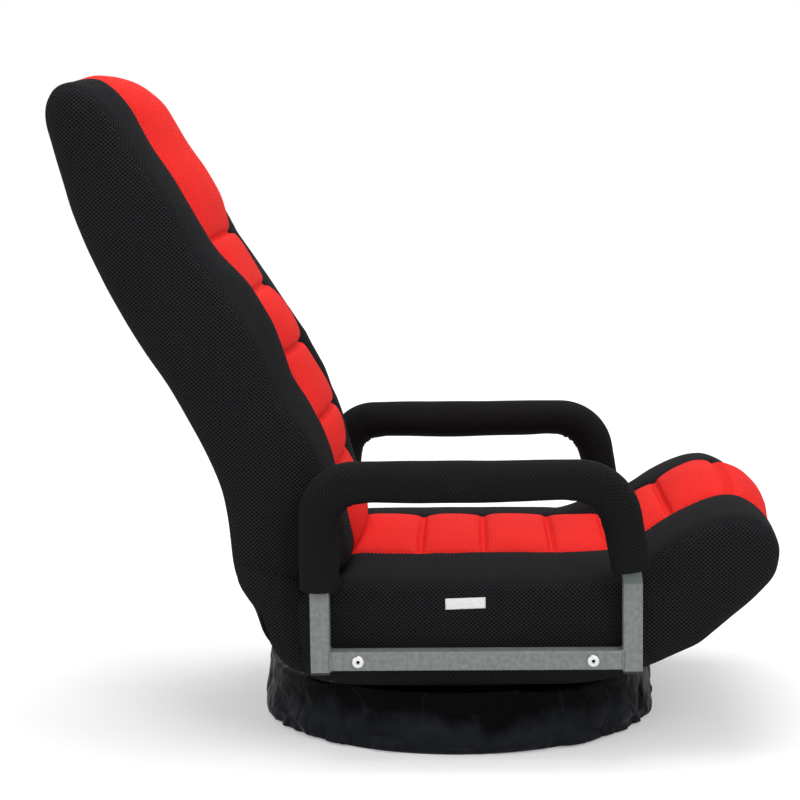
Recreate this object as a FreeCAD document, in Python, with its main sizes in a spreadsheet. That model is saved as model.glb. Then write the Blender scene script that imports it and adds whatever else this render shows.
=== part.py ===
import FreeCAD, Part
import math
import os

import Sketcher
from FreeCAD import Placement, Rotation, Vector

# Swivelling floor chair with a folding back and two bolted armrest loops.
# Millimetres and degrees. +X is the sitter's front, +Y the sitter's left, +Z up.
# The origin is on the floor, on the swivel axis.

SIZES = {
    # Armrest loops of square tube
    "TubeSide": 25,
    "TubeWall": 1.2,
    "TubeRound": 2.5,
    "ArmStand": 15.5,
    "RearPostX": -177,
    "FrontPostX": 226,
    "RailZ": 134.5,
    "PostFootZ": 120,
    "ArmTopZ": 369,
    "RearCorner": 46,
    "FrontCorner": 56,
    "FrontKneeZ": 238,
    "FrontLean": 9,
    "CapFlange": 3,
    "CapPlug": 12,
    # Foam sleeves on the armrests
    "SleeveDia": 52,
    "SleeveRearZ": 224,
    "SleeveFrontZ": 249,
    # Armrest bolts and their rivet nuts
    "BoltRearX": -128,
    "BoltFrontX": 175,
    "BoltDia": 8,
    "BoltHeadDia": 16.4,
    "BoltHeadTall": 4.4,
    "BoltHeadRound": 0.7,
    "BoltSocketLeft": 0.35,
    "BoltSocket": 5,
    "BoltLong": 48,
    "NutDia": 11,
    "NutLong": 16,
    "NutFlangeDia": 15,
    "NutFlange": 1,
    # Base
    "BaseRingDia": 512,
    "BaseTube": 22,
    "BaseTubeWall": 1.2,
    "FloorRingZ": 16,
    "PostCount": 6,
    "PostDia": 16,
    "GlideWide": 20,
    "GlideTall": 10,
    "BaseBarWide": 25,
    "SkirtStand": 6,
    "SkirtHemZ": 3,
    "SkirtFolds": 34,
    "SkirtFoldDeep": 3.4,
    "SkirtCloth": 2,
    "SkirtRound": 3,
    "SkirtRise": 8,
    "SkirtWaist": 0.6,
    "SkirtCalm": 0.3,
    "SkirtOpening": 290,
    # Swivel bearing
    "PlateSide": 170,
    "PlateThick": 2.5,
    "PlateRoom": 6,
    "RaceDia": 130,
    "RaceWide": 14,
    "BallDia": 8,
    "BallCount": 16,
    "BallRun": 0.1,
    "RaceTall": 3.2,
    "RaceFloor": 0.9,
    "HubBore": 14,
    "HubRun": 0.08,
    "HubWall": 1.5,
    "HubLip": 1.5,
    "HubLipWide": 3,
    "ScrewDia": 6,
    "ScrewHeadDia": 11,
    "ScrewHeadTall": 1.6,
    "ScrewLong": 16,
    "ScrewSpread": 140,
    # Seat frame
    "FrameTube": 25,
    "FrameWall": 1.2,
    "FrameSide": 14.5,
    "FrameRearX": -186,
    "FrameBendX": 212,
    "FrameBend": 90,
    "NoseTubeX": 370,
    "NoseTubeZ": 256,
    "CrossTall": 25,
    "CrossWide": 25,
    "StrapWide": 40,
    "StrapThick": 2,
    "StrapPitch": 78,
    "StrapCount": 4,
    "StrapRearX": -130,
    "RearBarX": -155,
    "SeatGap": 0.2,
    # Hinge
    "PivotX": -215,
    "PivotZ": 180,
    "PivotDia": 10,
    "PivotHeadDia": 16,
    "PivotHeadTall": 2.5,
    "BoreRun": 0.08,
    "CheekThick": 2.5,
    "CheekRound": 20,
    "SectorThick": 5,
    "SideRun": 0.3,
    "ToothTip": 30,
    "ToothRoot": 25,
    "ToothPitch": 22.5,
    "ToothCount": 5,
    "NotchOver": 2,
    "NotchBack": 3.5,
    "NotchFloor": 3,
    "NotchSlope": 10,
    "PawlAngle": 60,
    "PawlPinX": 41,
    "PawlPinZ": -11,
    "PawlPinDia": 6,
    "PinHeadDia": 8.6,
    "PinHeadTall": 1.2,
    "PawlRound": 7.5,
    "SpringWire": 1.2,
    "SpringTurns": 3,
    "SpringLeg": 9,
    "SpringRun": 0.35,
    "PinReach": 7,
    "PinBoss": 9,
    "NoseRun": 0.4,
    "TabHalf": 10,
    "TabLong": 90,
    "ArmWide": 18,
    "ArmLong": 112,
    # Back frame
    "BackTube": 22,
    "BackTubeStart": 50,
    "BackBend": 200,
    "BackKneeX": -258,
    "BackKneeZ": 345,
    "BackNeckX": -410,
    "BackNeckZ": 620,
    "BackTopX": -478,
    "BackTopZ": 842,
    "BackBar": 16,
    "BackBarCount": 3,
    # Cushions
    "FoamRun": 0.3,
    "SeatWide": 544,
    "SeatFloorZ": 90,
    "SeatTopZ": 245,
    "CreaseRound": 96,
    "KnuckleRound": 47,
    "HingeRoom": 62,
    "HingeCover": 8,
    "BackSide": 18.8,
    "PanelWide": 250,
    "PanelThick": 24,
    "SeatCrown": 3,
    "BackCrown": 20,
    "ChannelSwell": 9,
    "ChannelPitch": 90,
    "FootAngle": 42.5,
    "SeatBand": 90,
    "SeatPull": 0.45,
    "BackBand": 75,
    "BackPull": 0.6,
    "FoldClear": 75,
    "FoldForward": 27.5,
    # Clearances between pieces that are put together once
    "SitRun": 0.2,
    "HoleRun": 0.2,
    "BoltRun": 0.25,
    "LipRun": 0.5,
    "NutRun": 0.1,
    "ThreadRun": 0.05,
    "RoomRun": 1,
}

# Widths that follow from the seat's own width, from the outside in
WIDTHS = {
    "ArmSpread": "(SeatWide + 2 * ArmStand)",
    "FrameSpread": "(SeatWide - 2 * FrameSide)",
    "BackSpread": "(FrameSpread - FrameTube - 2 * (CheekThick + SideRun + SectorThick) - BackTube)",
    "BackWide": "(BackSpread + 2 * BackSide)",
}

doc = FreeCAD.newDocument("FloorChair")
sheet = doc.addObject("Spreadsheet::Sheet", "Sizes")
for row, (alias, amount) in enumerate(SIZES.items(), start=1):
    sheet.set(f"A{row}", alias)
    sheet.set(f"B{row}", str(amount))
    sheet.setAlias(f"B{row}", alias)
doc.recompute()

pieces = []


def size(name):
    """The number that a cell of the sheet holds, or a width that follows from the cells."""
    return number(name) if name in WIDTHS else float(sheet.get(name))


def number(text):
    """The value of an expression in the sheet's words."""
    result = sheet.evalExpression(full(text))
    return float(getattr(result, "Value", result))


def full(text):
    """An expression with each cell's word led by the sheet's name, and each width written out."""
    words = []
    word = ""
    for letter in str(text) + " ":
        if letter.isalnum() or letter == "_":
            word += letter
            continue
        word = full(WIDTHS[word]) if word in WIDTHS else word
        words.append("Sizes." + word if word in SIZES else word)
        words.append(letter)
        word = ""
    return "".join(words).strip()


def bind(item, **texts):
    """Tie properties of an object to expressions; a double underscore stands for a dot."""
    for name, text in texts.items():
        item.setExpression(name.replace("__", "."), full(text))
    return item


def keep(item, label):
    """Name a finished piece and list it for export."""
    item.Label = label
    pieces.append(item)
    return item


# Sketches and features

def origin_plane(body, role):
    return [plane for plane in body.Origin.OriginFeatures if plane.Role == role][0]


def new_sketch(body, role):
    sketch = body.newObject("Sketcher::SketchObject", "Outline")
    sketch.AttachmentSupport = [(origin_plane(body, role), "")]
    sketch.MapMode = "FlatFace"
    return sketch


def hold_point(sketch, item, end, x, y):
    """Keep a point of a line or circle at two expressions, or on an axis where one is 0."""
    for kind, text, axis in (("DistanceX", x, -2), ("DistanceY", y, -1)):
        if text == "0":
            sketch.addConstraint(Sketcher.Constraint("PointOnObject", item, end, axis))
            continue
        line = sketch.addConstraint(Sketcher.Constraint(kind, -1, 1, item, end, number(text)))
        sketch.setExpression(f"Constraints[{line}]", full(text))


def draw_corners(sketch, corners):
    """A closed outline of straight lines whose corners are pairs of expressions."""
    here = [Vector(number(x), number(y), 0) for x, y in corners]
    first = sketch.GeometryCount
    count = len(here)
    for turn in range(count):
        sketch.addGeometry(Part.LineSegment(here[turn], here[(turn + 1) % count]))
    for turn in range(count):
        nxt = first + (turn + 1) % count
        sketch.addConstraint(Sketcher.Constraint("Coincident", first + turn, 2, nxt, 1))
    for turn, (x, y) in enumerate(corners):
        hold_point(sketch, first + turn, 1, x, y)


def draw_circle(sketch, x, y, radius):
    """A circle whose centre and radius are expressions."""
    centre = Vector(number(x), number(y), 0)
    item = sketch.addGeometry(Part.Circle(centre, Vector(0, 0, 1), number(radius)))
    hold_point(sketch, item, 3, x, y)
    line = sketch.addConstraint(Sketcher.Constraint("Radius", item, number(radius)))
    sketch.setExpression(f"Constraints[{line}]", full(radius))


def new_body(name):
    return doc.addObject("PartDesign::Body", name)


def pad(body, sketch, length, back=False):
    feature = body.newObject("PartDesign::Pad", "Pad")
    feature.Profile = sketch
    feature.Reversed = back
    bind(feature, Length=length)
    sketch.Visibility = False
    return feature


def round_bar(name, radius, length, axis="Z"):
    """A cylinder along one axis of the frame, starting at its own origin."""
    bar = doc.addObject("Part::Cylinder", name)
    bind(bar, Radius=radius, Height=length)
    if axis == "Y":
        bar.Placement = Placement(Vector(), Rotation(Vector(1, 0, 0), -90))
    if axis == "X":
        bar.Placement = Placement(Vector(), Rotation(Vector(0, 1, 0), 90))
    return bar


def block(name, long_x, long_y, long_z):
    item = doc.addObject("Part::Box", name)
    return bind(item, Length=long_x, Width=long_y, Height=long_z)


def at(item, x="0", y="0", z="0"):
    return bind(item, Placement__Base__x=x, Placement__Base__y=y, Placement__Base__z=z)


def cut(name, base, tool):
    item = doc.addObject("Part::Cut", name)
    item.Base = base
    item.Tool = tool
    return item


def fuse(name, items):
    item = doc.addObject("Part::MultiFuse", name)
    item.Shapes = items
    return item


def group(name, items):
    """Separate solids under one name."""
    item = doc.addObject("Part::Compound", name)
    item.Links = items
    return item


def mirrored(source, name):
    """The same piece on the sitter's right."""
    item = doc.addObject("Part::Mirroring", name)
    item.Source = source
    item.Normal = Vector(0, 1, 0)
    return item


def shaped(name, shape):
    """A piece whose shape comes straight from the kernel's own functions."""
    item = doc.addObject("Part::Feature", name)
    item.Shape = shape
    return item


def both_sides(left, name):
    """Keep a left piece and its mirror image on the right."""
    keep(left, f"{name}_left")
    keep(mirrored(left, f"{name}_right"), f"{name}_right")


# Paths and tubes

def bent_path(corners, bends):
    """Straight runs through the corners, each inner corner rounded by a tangent arc."""
    edges = []
    start = corners[0]
    for before, corner, after, bend in zip(corners, corners[1:], corners[2:], bends):
        inward = (before - corner).normalize()
        outward = (after - corner).normalize()
        half = inward.getAngle(outward) / 2
        reach = bend / math.tan(half)
        first = corner + inward * reach
        last = corner + outward * reach
        middle = (inward + outward).normalize()
        crown = corner + middle * (bend / math.sin(half) - bend)
        edges.append(Part.LineSegment(start, first).toShape())
        edges.append(Part.Arc(first, crown, last).toShape())
        start = last
    edges.append(Part.LineSegment(start, corners[-1]).toShape())
    return Part.Wire(edges)


def swept(path, section):
    return path.makePipeShell([section], True, False)


def round_section(corners, radius):
    along = (corners[1] - corners[0]).normalize()
    return Part.Wire(Part.makeCircle(radius, corners[0], along))


def square_section(corners, side, bend):
    """A square with rounded corners across the start of a path that lies in an XZ plane."""
    along = (corners[1] - corners[0]).normalize()
    wide = Vector(0, 1, 0)
    deep = along.cross(wide)
    start = corners[0]
    half = side / 2
    flat = half - bend
    slant = half - bend * (1 - math.sqrt(0.5))
    edges = []
    for one, other in ((wide, deep), (deep, -wide), (-wide, -deep), (-deep, wide)):
        first = start + one * half - other * flat
        last = start + one * half + other * flat
        after = start + one * flat + other * half
        edges.append(Part.LineSegment(first, last).toShape())
        edges.append(Part.Arc(last, start + (one + other) * slant, after).toShape())
    return Part.Wire(edges)


def pipe(corners, bends, radius, wall):
    """A hollow round tube along a bent path."""
    path = bent_path(corners, bends)
    outer = swept(path, round_section(corners, radius))
    return outer.cut(swept(path, round_section(corners, radius - wall)))


def rod(corners, bends, radius):
    return swept(bent_path(corners, bends), round_section(corners, radius))


# Base: two rings on posts, crossing bars, a rubber strip and the cloth skirt

GAP = "BallDia + 2 * BallRun - 2 * (RaceTall - RaceFloor)"
BASE_TOP = f"(RailZ - FrameTube / 2 - CrossTall - 2 * PlateThick - 2 * RaceTall - ({GAP}))"


def make_ring(name, height):
    outer = doc.addObject("Part::Torus", name + "Outer")
    bind(outer, Radius1="BaseRingDia / 2", Radius2="BaseTube / 2")
    inner = doc.addObject("Part::Torus", name + "Inner")
    bind(inner, Radius1="BaseRingDia / 2", Radius2="BaseTube / 2 - BaseTubeWall")
    at(outer, z=height)
    at(inner, z=height)
    return cut(name, outer, inner)


def make_base():
    keep(make_ring("FloorRing", "FloorRingZ"), "floor_ring")
    ring_top = f"{BASE_TOP} - BaseTube / 2"
    keep(make_ring("UpperRing", ring_top), "upper_ring")
    posts = []
    for turn in range(int(size("PostCount"))):
        angle = f"({turn} + 0.5) * 360 / PostCount"
        x = f"BaseRingDia / 2 * cos({angle} * 1 deg)"
        y = f"BaseRingDia / 2 * sin({angle} * 1 deg)"
        post = round_bar("RingPost", "PostDia / 2", f"{ring_top} - FloorRingZ - BaseTube - 2 * SitRun")
        posts.append(at(post, x, y, "FloorRingZ + BaseTube / 2 + SitRun"))
    keep(group("RingPosts", posts), "ring_posts")
    keep(make_glide(), "floor_glides")
    keep(make_base_cross(), "base_cross_bars")


def make_glide():
    """Rubber strip pushed on under the floor ring, with a trough for its tube."""
    outer = round_bar("GlideOuter", "BaseRingDia / 2 + GlideWide / 2", "GlideTall")
    inner = round_bar("GlideInner", "BaseRingDia / 2 - GlideWide / 2", "GlideTall")
    trough = doc.addObject("Part::Torus", "GlideTrough")
    bind(trough, Radius1="BaseRingDia / 2", Radius2="BaseTube / 2 + SitRun")
    at(trough, z="FloorRingZ")
    return cut("Glide", outer, fuse("GlideTools", [inner, trough]))


def cross_of(name, wide, tall, long, foot):
    """Two blocks that cross at the middle."""
    one = block(name + "Long", long, wide, tall)
    at(one, f"0 - ({long}) / 2", f"0 - ({wide}) / 2", foot)
    other = block(name + "Side", wide, long, tall)
    at(other, f"0 - ({wide}) / 2", f"0 - ({long}) / 2", foot)
    return fuse(name, [one, other])


def make_base_cross():
    """Two crossing box tubes between the upper ring's walls, turned to lie under the screws."""
    foot = f"({BASE_TOP} - BaseTube)"
    reach = "BaseRingDia - BaseTube - 2 * LipRun"
    outer = cross_of("CrossOuter", "BaseBarWide", "BaseTube", reach, foot)
    wall = "2 * BaseTubeWall"
    inner = cross_of("CrossInner", f"BaseBarWide - {wall}", f"BaseTube - {wall}",
                     f"{reach} + BaseTube", f"{foot} + BaseTubeWall")
    tools = [inner]
    for turn in range(4):
        angle = f"{turn} * 90 deg"
        hole = round_bar("CrossHole", "ScrewDia / 2 + HoleRun", "BaseTube")
        at(hole, f"ScrewSpread / sqrt(2) * cos({angle})", f"ScrewSpread / sqrt(2) * sin({angle})",
           f"{BASE_TOP} - BaseTube / 2")
        tools.append(hole)
    lip_hole = round_bar("CrossLipHole", "HubBore / 2 + HubLipWide + LipRun", "BaseTube")
    tools.append(at(lip_hole, z=f"{BASE_TOP} - BaseTube / 2"))
    cross = cut("BaseCross", outer, fuse("CrossTools", tools))
    cross.Placement = Placement(Vector(), Rotation(Vector(0, 0, 1), 45))
    return cross


def fold_wire(radius, deep, height):
    """A round of arcs that swell out and dip in by turns, like gathered cloth."""
    folds = int(size("SkirtFolds"))
    edges = []
    steps = folds * 2
    for turn in range(steps):
        swell = deep if turn % 2 else -deep
        points = []
        for part, push in ((0, 0), (0.5, swell / 2), (1, 0)):
            angle = 2 * math.pi * (turn + part) / steps
            reach = radius - deep / 2 + push
            points.append(Vector(reach * math.cos(angle), reach * math.sin(angle), height))
        edges.append(Part.Arc(*points).toShape())
    return Part.Wire(edges)


def make_skirt():
    """Cloth wall round both rings, gathered at its hem, and the flat ring of cloth sewn to its top."""
    ring = size("BaseRingDia") / 2 + size("BaseTube") / 2
    radius = ring + size("SkirtStand")
    cloth = size("SkirtCloth")
    top = number(BASE_TOP) + size("FoamRun") + cloth
    hem = size("SkirtHemZ")
    inside = ring + size("FoamRun")
    deep = size("SkirtFoldDeep")
    tuck = size("SkirtRound")
    waist = hem + (top - hem) * size("SkirtWaist")
    smooth = size("SkirtFoldDeep") / 100
    rings = [fold_wire(radius - tuck, deep, hem), fold_wire(radius, deep, hem + size("SkirtRise"))]
    rings += [fold_wire(radius, deep * size("SkirtCalm"), waist)]
    rings += [fold_wire(radius - tuck / 3, smooth, top - tuck), fold_wire(radius - tuck, smooth, top)]
    drum = Part.makeLoft(rings, True, True)
    wall = drum.cut(Part.makeCylinder(inside, top, Vector(0, 0, 0)))
    keep(shaped("Skirt", wall), "base_skirt")
    flat = Part.makeCylinder(inside, cloth, Vector(0, 0, top - cloth))
    hole = Part.makeCylinder(size("SkirtOpening") / 2, top)
    keep(shaped("SkirtTop", flat.cut(hole)), "skirt_top")


# Swivel bearing: two pressed plates with a ball race, screws and a centre rivet

def race_plate(name, plate_z, race_z, ball_z):
    plate = block(name + "Plate", "PlateSide", "PlateSide", "PlateThick")
    at(plate, "0 - PlateSide / 2", "0 - PlateSide / 2", plate_z)
    rim = round_bar(name + "Rim", "RaceDia / 2 + RaceWide / 2", "RaceTall")
    at(rim, z=race_z)
    well = round_bar(name + "Well", "RaceDia / 2 - RaceWide / 2", "RaceTall")
    at(well, z=race_z)
    ring = cut(name + "Ring", rim, well)
    groove = doc.addObject("Part::Torus", name + "Groove")
    bind(groove, Radius1="RaceDia / 2", Radius2="BallDia / 2 + BallRun")
    at(groove, z=ball_z)
    whole = fuse(name + "Whole", [plate, ring])
    bore = round_bar(name + "Bore", "HubBore / 2", "PlateThick * 3")
    at(bore, z=f"{plate_z} - PlateThick")
    tools = [groove, bore]
    for x in (-1, 1):
        for y in (-1, 1):
            hole = round_bar(name + "Hole", "ScrewDia / 2 + HoleRun", "PlateThick * 3")
            at(hole, f"{x} * ScrewSpread / 2", f"{y} * ScrewSpread / 2", f"{plate_z} - PlateThick")
            tools.append(hole)
    return cut(name, whole, fuse(name + "Tools", tools))


def plate_screws(name, face, way):
    """Four screws whose heads lie on a plate's face; way is 1 where they point up."""
    screws = []
    for x in (-1, 1):
        for y in (-1, 1):
            spot = (f"{x} * ScrewSpread / 2", f"{y} * ScrewSpread / 2")
            head = round_bar(name + "Head", "ScrewHeadDia / 2", "ScrewHeadTall")
            at(head, *spot, face if way < 0 else f"{face} - ScrewHeadTall")
            shank = round_bar(name + "Shank", "ScrewDia / 2", "ScrewLong")
            at(shank, *spot, f"{face} - ScrewLong" if way < 0 else face)
            screws.append(fuse(name, [head, shank]))
    return group(name + "s", screws)


def make_hub(ball_z):
    """Hollow rivet that keeps the two plates together, turned over at both ends."""
    low = f"({ball_z} - PlateThick - RaceTall - HubLip - HubRun - ({GAP}) / 2)"
    tall = f"(2 * PlateThick + 2 * RaceTall + 2 * HubLip + 2 * HubRun + ({GAP}))"
    tube = round_bar("HubTube", "HubBore / 2 - HubRun", tall)
    at(tube, z=low)
    lower = round_bar("HubLower", "HubBore / 2 + HubLipWide", "HubLip")
    at(lower, z=low)
    upper = round_bar("HubUpper", "HubBore / 2 + HubLipWide", "HubLip")
    at(upper, z=f"{low} + {tall} - HubLip")
    hole = round_bar("HubHole", "HubBore / 2 - HubRun - HubWall", f"{tall} + 2 * RoomRun")
    at(hole, z=f"{low} - RoomRun")
    return cut("Hub", fuse("HubWhole", [tube, lower, upper]), hole)


def make_bearing():
    ball_z = f"({BASE_TOP} + RailZ - FrameTube / 2 - CrossTall) / 2"
    top_z = "RailZ - FrameTube / 2 - CrossTall - PlateThick"
    lower = race_plate("LowerRace", BASE_TOP, f"{BASE_TOP} + PlateThick", ball_z)
    keep(lower, "lower_race_plate")
    upper = race_plate("UpperRace", top_z, f"{top_z} - RaceTall", ball_z)
    keep(upper, "upper_race_plate")
    keep(plate_screws("LowerScrew", f"{BASE_TOP} + PlateThick", -1), "lower_plate_screws")
    keep(plate_screws("UpperScrew", top_z, 1), "upper_plate_screws")
    keep(make_hub(ball_z), "swivel_hub_rivet")
    balls = []
    for turn in range(int(size("BallCount"))):
        ball = doc.addObject("Part::Sphere", "Ball")
        bind(ball, Radius="BallDia / 2")
        angle = f"{turn} * 360 / BallCount * 1 deg"
        at(ball, f"RaceDia / 2 * cos({angle})", f"RaceDia / 2 * sin({angle})", ball_z)
        balls.append(ball)
    keep(group("Balls", balls), "bearing_balls")


# Armrest loops

def arm_corners():
    """Corners of the loop's centre line: rear foot, rear top, front top, knee and front foot."""
    side = size("ArmSpread") / 2
    top = size("ArmTopZ")
    knee = size("FrontKneeZ")
    lean = math.tan(math.radians(size("FrontLean"))) * (top - knee)
    rear = size("RearPostX")
    front = size("FrontPostX")
    foot = size("PostFootZ")
    return [Vector(rear, side, foot), Vector(rear, side, top), Vector(front - lean, side, top),
            Vector(front, side, knee), Vector(front, side, foot)]


def make_armrests():
    corners = arm_corners()
    bends = [size("RearCorner"), size("FrontCorner"), size("FrontCorner")]
    path = bent_path(corners, bends)
    tube = size("TubeSide")
    bore = tube - 2 * size("TubeWall")
    bend = size("TubeRound")
    inner_bend = bend - size("TubeWall")
    loop = swept(path, square_section(corners, tube, bend))
    loop = loop.cut(swept(path, square_section(corners, bore, inner_bend)))
    both_sides(shaped("ArmLoop", loop), "armrest_loop")
    ends = list(corners)
    ends[0] = Vector(corners[0].x, corners[0].y, size("SleeveRearZ"))
    ends[-1] = Vector(corners[-1].x, corners[-1].y, size("FrontKneeZ"))
    lean = (corners[2] - corners[3]).normalize()
    rise = (size("SleeveFrontZ") - size("FrontKneeZ")) / lean.z
    ends = ends[:3] + [corners[3] + lean * rise]
    route = bent_path(ends, bends[:2])
    gap = size("FoamRun")
    hollow = swept(path, square_section(corners, tube + 2 * gap, bend + gap))
    sleeve = swept(route, round_section(ends, size("SleeveDia") / 2)).cut(hollow)
    both_sides(shaped("ArmSleeve", sleeve), "armrest_sleeve")
    make_rail()


def make_rail():
    """Straight square tube between the posts, with a hole for each bolt."""
    rail = new_body("ArmRail")
    long = "FrontPostX - RearPostX - TubeSide"
    outside = new_sketch(rail, "YZ_Plane")
    draw_square(outside, "TubeSide / 2")
    blank = pad(rail, outside, long)
    doc.recompute()
    edges = rail.Shape.Edges
    corners = [f"Edge{place}" for place, edge in enumerate(edges, start=1)
               if abs(edge.Length - number(long)) < size("HoleRun")]
    round_off = rail.newObject("PartDesign::Fillet", "CornerRound")
    round_off.Base = (blank, corners)
    bind(round_off, Radius="TubeRound")
    bore = new_sketch(rail, "YZ_Plane")
    draw_square(bore, "(TubeSide / 2 - TubeWall)")
    body_through(rail, bore)
    holes = new_sketch(rail, "XZ_Plane")
    for spot in ("BoltRearX", "BoltFrontX"):
        draw_circle(holes, f"{spot} - RearPostX - TubeSide / 2", "0", "BoltDia / 2 + BoltRun")
    body_through(rail, holes)
    bind(rail, Placement__Base__x="RearPostX + TubeSide / 2", Placement__Base__y="ArmSpread / 2",
         Placement__Base__z="RailZ")
    both_sides(rail, "armrest_rail")


def draw_square(sketch, reach):
    draw_corners(sketch, [(f"0 - {reach}", f"0 - {reach}"), (reach, f"0 - {reach}"),
                          (reach, reach), (f"0 - {reach}", reach)])


def body_through(body, sketch):
    """Cut a sketch through a body on both sides of its plane."""
    doc.recompute()
    before = body.Shape.Volume
    feature = body.newObject("PartDesign::Pocket", "Through")
    feature.Profile = sketch
    feature.Type = "ThroughAll"
    feature.Midplane = True
    doc.recompute()
    if body.Shape.Volume > before - 1:
        raise ValueError(f"{body.Name}: the holes cut nothing")
    return feature


def make_caps():
    """Plastic plugs in the open feet of the posts, rounded at their corners like the tube."""
    wide = size("TubeSide") - 2 * (size("TubeWall") + size("SitRun"))
    bend = size("TubeRound") - size("TubeWall")
    flange = size("CapFlange")
    caps = []
    for side in (-1, 1):
        for post in ("RearPostX", "FrontPostX"):
            foot = Vector(size(post), side * size("ArmSpread") / 2, size("PostFootZ") - flange)
            cap = square_block(foot, size("TubeSide"), size("TubeRound"), flange)
            caps.append(cap.fuse(square_block(foot, wide, bend, size("CapPlug") + flange)))
    keep(shaped("Caps", Part.makeCompound(caps)), "armrest_end_caps")


def square_block(foot, side, bend, tall):
    """An upright square block with rounded corners."""
    up = Vector(0, 0, 1)
    return Part.Face(square_section([foot, foot + up], side, bend)).extrude(up * tall)


def make_bolts():
    """Button-head bolts with a hexagon socket, and the rivet nuts that they screw into."""
    bolts = []
    nuts = []
    face = "(ArmSpread / 2 + TubeSide / 2)"
    wall = "(FrameSpread / 2 + FrameTube / 2)"
    for spot in ("BoltRearX", "BoltFrontX"):
        bolt = new_body("ArmBolt")
        shank = new_sketch(bolt, "XZ_Plane")
        draw_circle(shank, "0", "0", "BoltDia / 2")
        pad(bolt, shank, "BoltLong")
        head = new_sketch(bolt, "XZ_Plane")
        draw_circle(head, "0", "0", "BoltHeadDia / 2")
        pad(bolt, head, "BoltHeadTall", back=True)
        doc.recompute()
        rim = best_edge(bolt.Shape, size("BoltHeadTall"))
        blank = bolt.Tip
        round_off = bolt.newObject("PartDesign::Fillet", "HeadRound")
        round_off.Base = (blank, [rim])
        bind(round_off, Radius="BoltHeadTall * BoltHeadRound")
        doc.recompute()
        socket = new_sketch(bolt, "XZ_Plane")
        flat = "BoltSocket / 2"
        point = "BoltSocket / 2 / cos(30 deg)"
        draw_corners(socket, [(f"0 - {point} / 2", f"0 - {flat}"), (f"{point} / 2", f"0 - {flat}"),
                              (point, "0"), (f"{point} / 2", flat), (f"0 - {point} / 2", flat),
                              (f"0 - {point}", "0")])
        left = size("BoltHeadTall") * size("BoltSocketLeft")
        socket.AttachmentOffset = Placement(Vector(0, 0, -left), Rotation())
        hole = bolt.newObject("PartDesign::Pocket", "Socket")
        hole.Profile = socket
        hole.Type = "ThroughAll"
        doc.recompute()
        bind(bolt, Placement__Base__x=spot, Placement__Base__y=face, Placement__Base__z="RailZ")
        bolts += [bolt, mirrored(bolt, "ArmBoltRight")]
        tube = round_bar("NutTube", "NutDia / 2", "NutLong", "Y")
        at(tube, spot, f"{wall} - NutLong", "RailZ")
        flange = round_bar("NutFlange", "NutFlangeDia / 2", "NutFlange", "Y")
        at(flange, spot, f"{wall} + NutRun", "RailZ")
        thread = round_bar("NutThread", "BoltDia / 2 + ThreadRun", "NutLong * 2", "Y")
        at(thread, spot, f"{wall} - NutLong * 1.5", "RailZ")
        neck = round_bar("NutNeck", "NutDia / 2", "NutFlange", "Y")
        at(neck, spot, f"{wall} - NutFlange / 2", "RailZ")
        nut = cut("Nut", fuse("NutWhole", [tube, flange, neck]), thread)
        nuts += [nut, mirrored(nut, "NutRight")]
    keep(group("ArmBolts", bolts), "armrest_bolts")
    keep(group("RivetNuts", nuts), "rivet_nuts")


def best_edge(shape, height):
    """The name of the round edge that lies at a given height along Y."""
    for place, edge in enumerate(shape.Edges, start=1):
        if len(edge.Vertexes) == 1 and abs(abs(edge.CenterOfMass.y) - height) < 0.01:
            return f"Edge{place}"
    raise ValueError("no rim at that height")


# Seat frame

def seat_tube_corners():
    side = size("FrameSpread") / 2
    level = size("RailZ")
    nose = Vector(size("NoseTubeX"), side, size("NoseTubeZ"))
    bend = Vector(size("FrameBendX"), side, level)
    reach = size("FrameTube") / 2 + size("SeatGap")
    return [Vector(size("FrameRearX"), side, level), bend, nose - (nose - bend).normalize() * reach]


def make_seat_frame():
    corners = seat_tube_corners()
    radius = size("FrameTube") / 2
    tube = pipe(corners, [size("FrameBend")], radius, size("FrameWall"))
    bore = size("NutDia") / 2 + size("NutRun")
    for spot in ("BoltRearX", "BoltFrontX"):
        start = Vector(size(spot), size("FrameSpread") / 2, size("RailZ"))
        tube = tube.cut(Part.makeCylinder(bore, radius * 1.5, start, Vector(0, 1, 0)))
    both_sides(shaped("SeatTube", tube), "seat_side_tube")
    keep(cross_tube("NoseTube", "FrameTube", "FrameWall", "FrameSpread + FrameTube",
                    "NoseTubeX", "NoseTubeZ"), "seat_front_tube")
    bars = []
    top = "RailZ - FrameTube / 2 - CrossTall"
    for spot in ("0 - ScrewSpread / 2", "ScrewSpread / 2", "RearBarX"):
        outer = block("SeatBar", "CrossWide", "FrameSpread", "CrossTall")
        at(outer, f"{spot} - CrossWide / 2", "0 - FrameSpread / 2", top)
        inner = block("SeatBarBore", "CrossWide - 2 * FrameWall", "FrameSpread + 2 * RoomRun",
                      "CrossTall - 2 * FrameWall")
        at(inner, f"{spot} - CrossWide / 2 + FrameWall", "0 - FrameSpread / 2 - RoomRun",
           f"{top} + FrameWall")
        tools = [inner]
        for y in (-1, 1):
            hole = round_bar("SeatBarHole", "ScrewDia / 2 + HoleRun", "FrameWall * 3")
            tools.append(at(hole, spot, f"{y} * ScrewSpread / 2", f"{top} - FrameWall"))
        bars.append(cut("SeatCrossBar", outer, fuse("SeatBarTools", tools)))
    keep(group("SeatCrossBars", bars), "seat_cross_bars")
    straps = []
    for turn in range(int(size("StrapCount"))):
        strap = block("Strap", "StrapWide", "FrameSpread", "StrapThick")
        at(strap, f"StrapRearX + {turn} * StrapPitch", "0 - FrameSpread / 2", "RailZ + FrameTube / 2")
        straps.append(strap)
    keep(group("Straps", straps), "seat_webbing")


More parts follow.
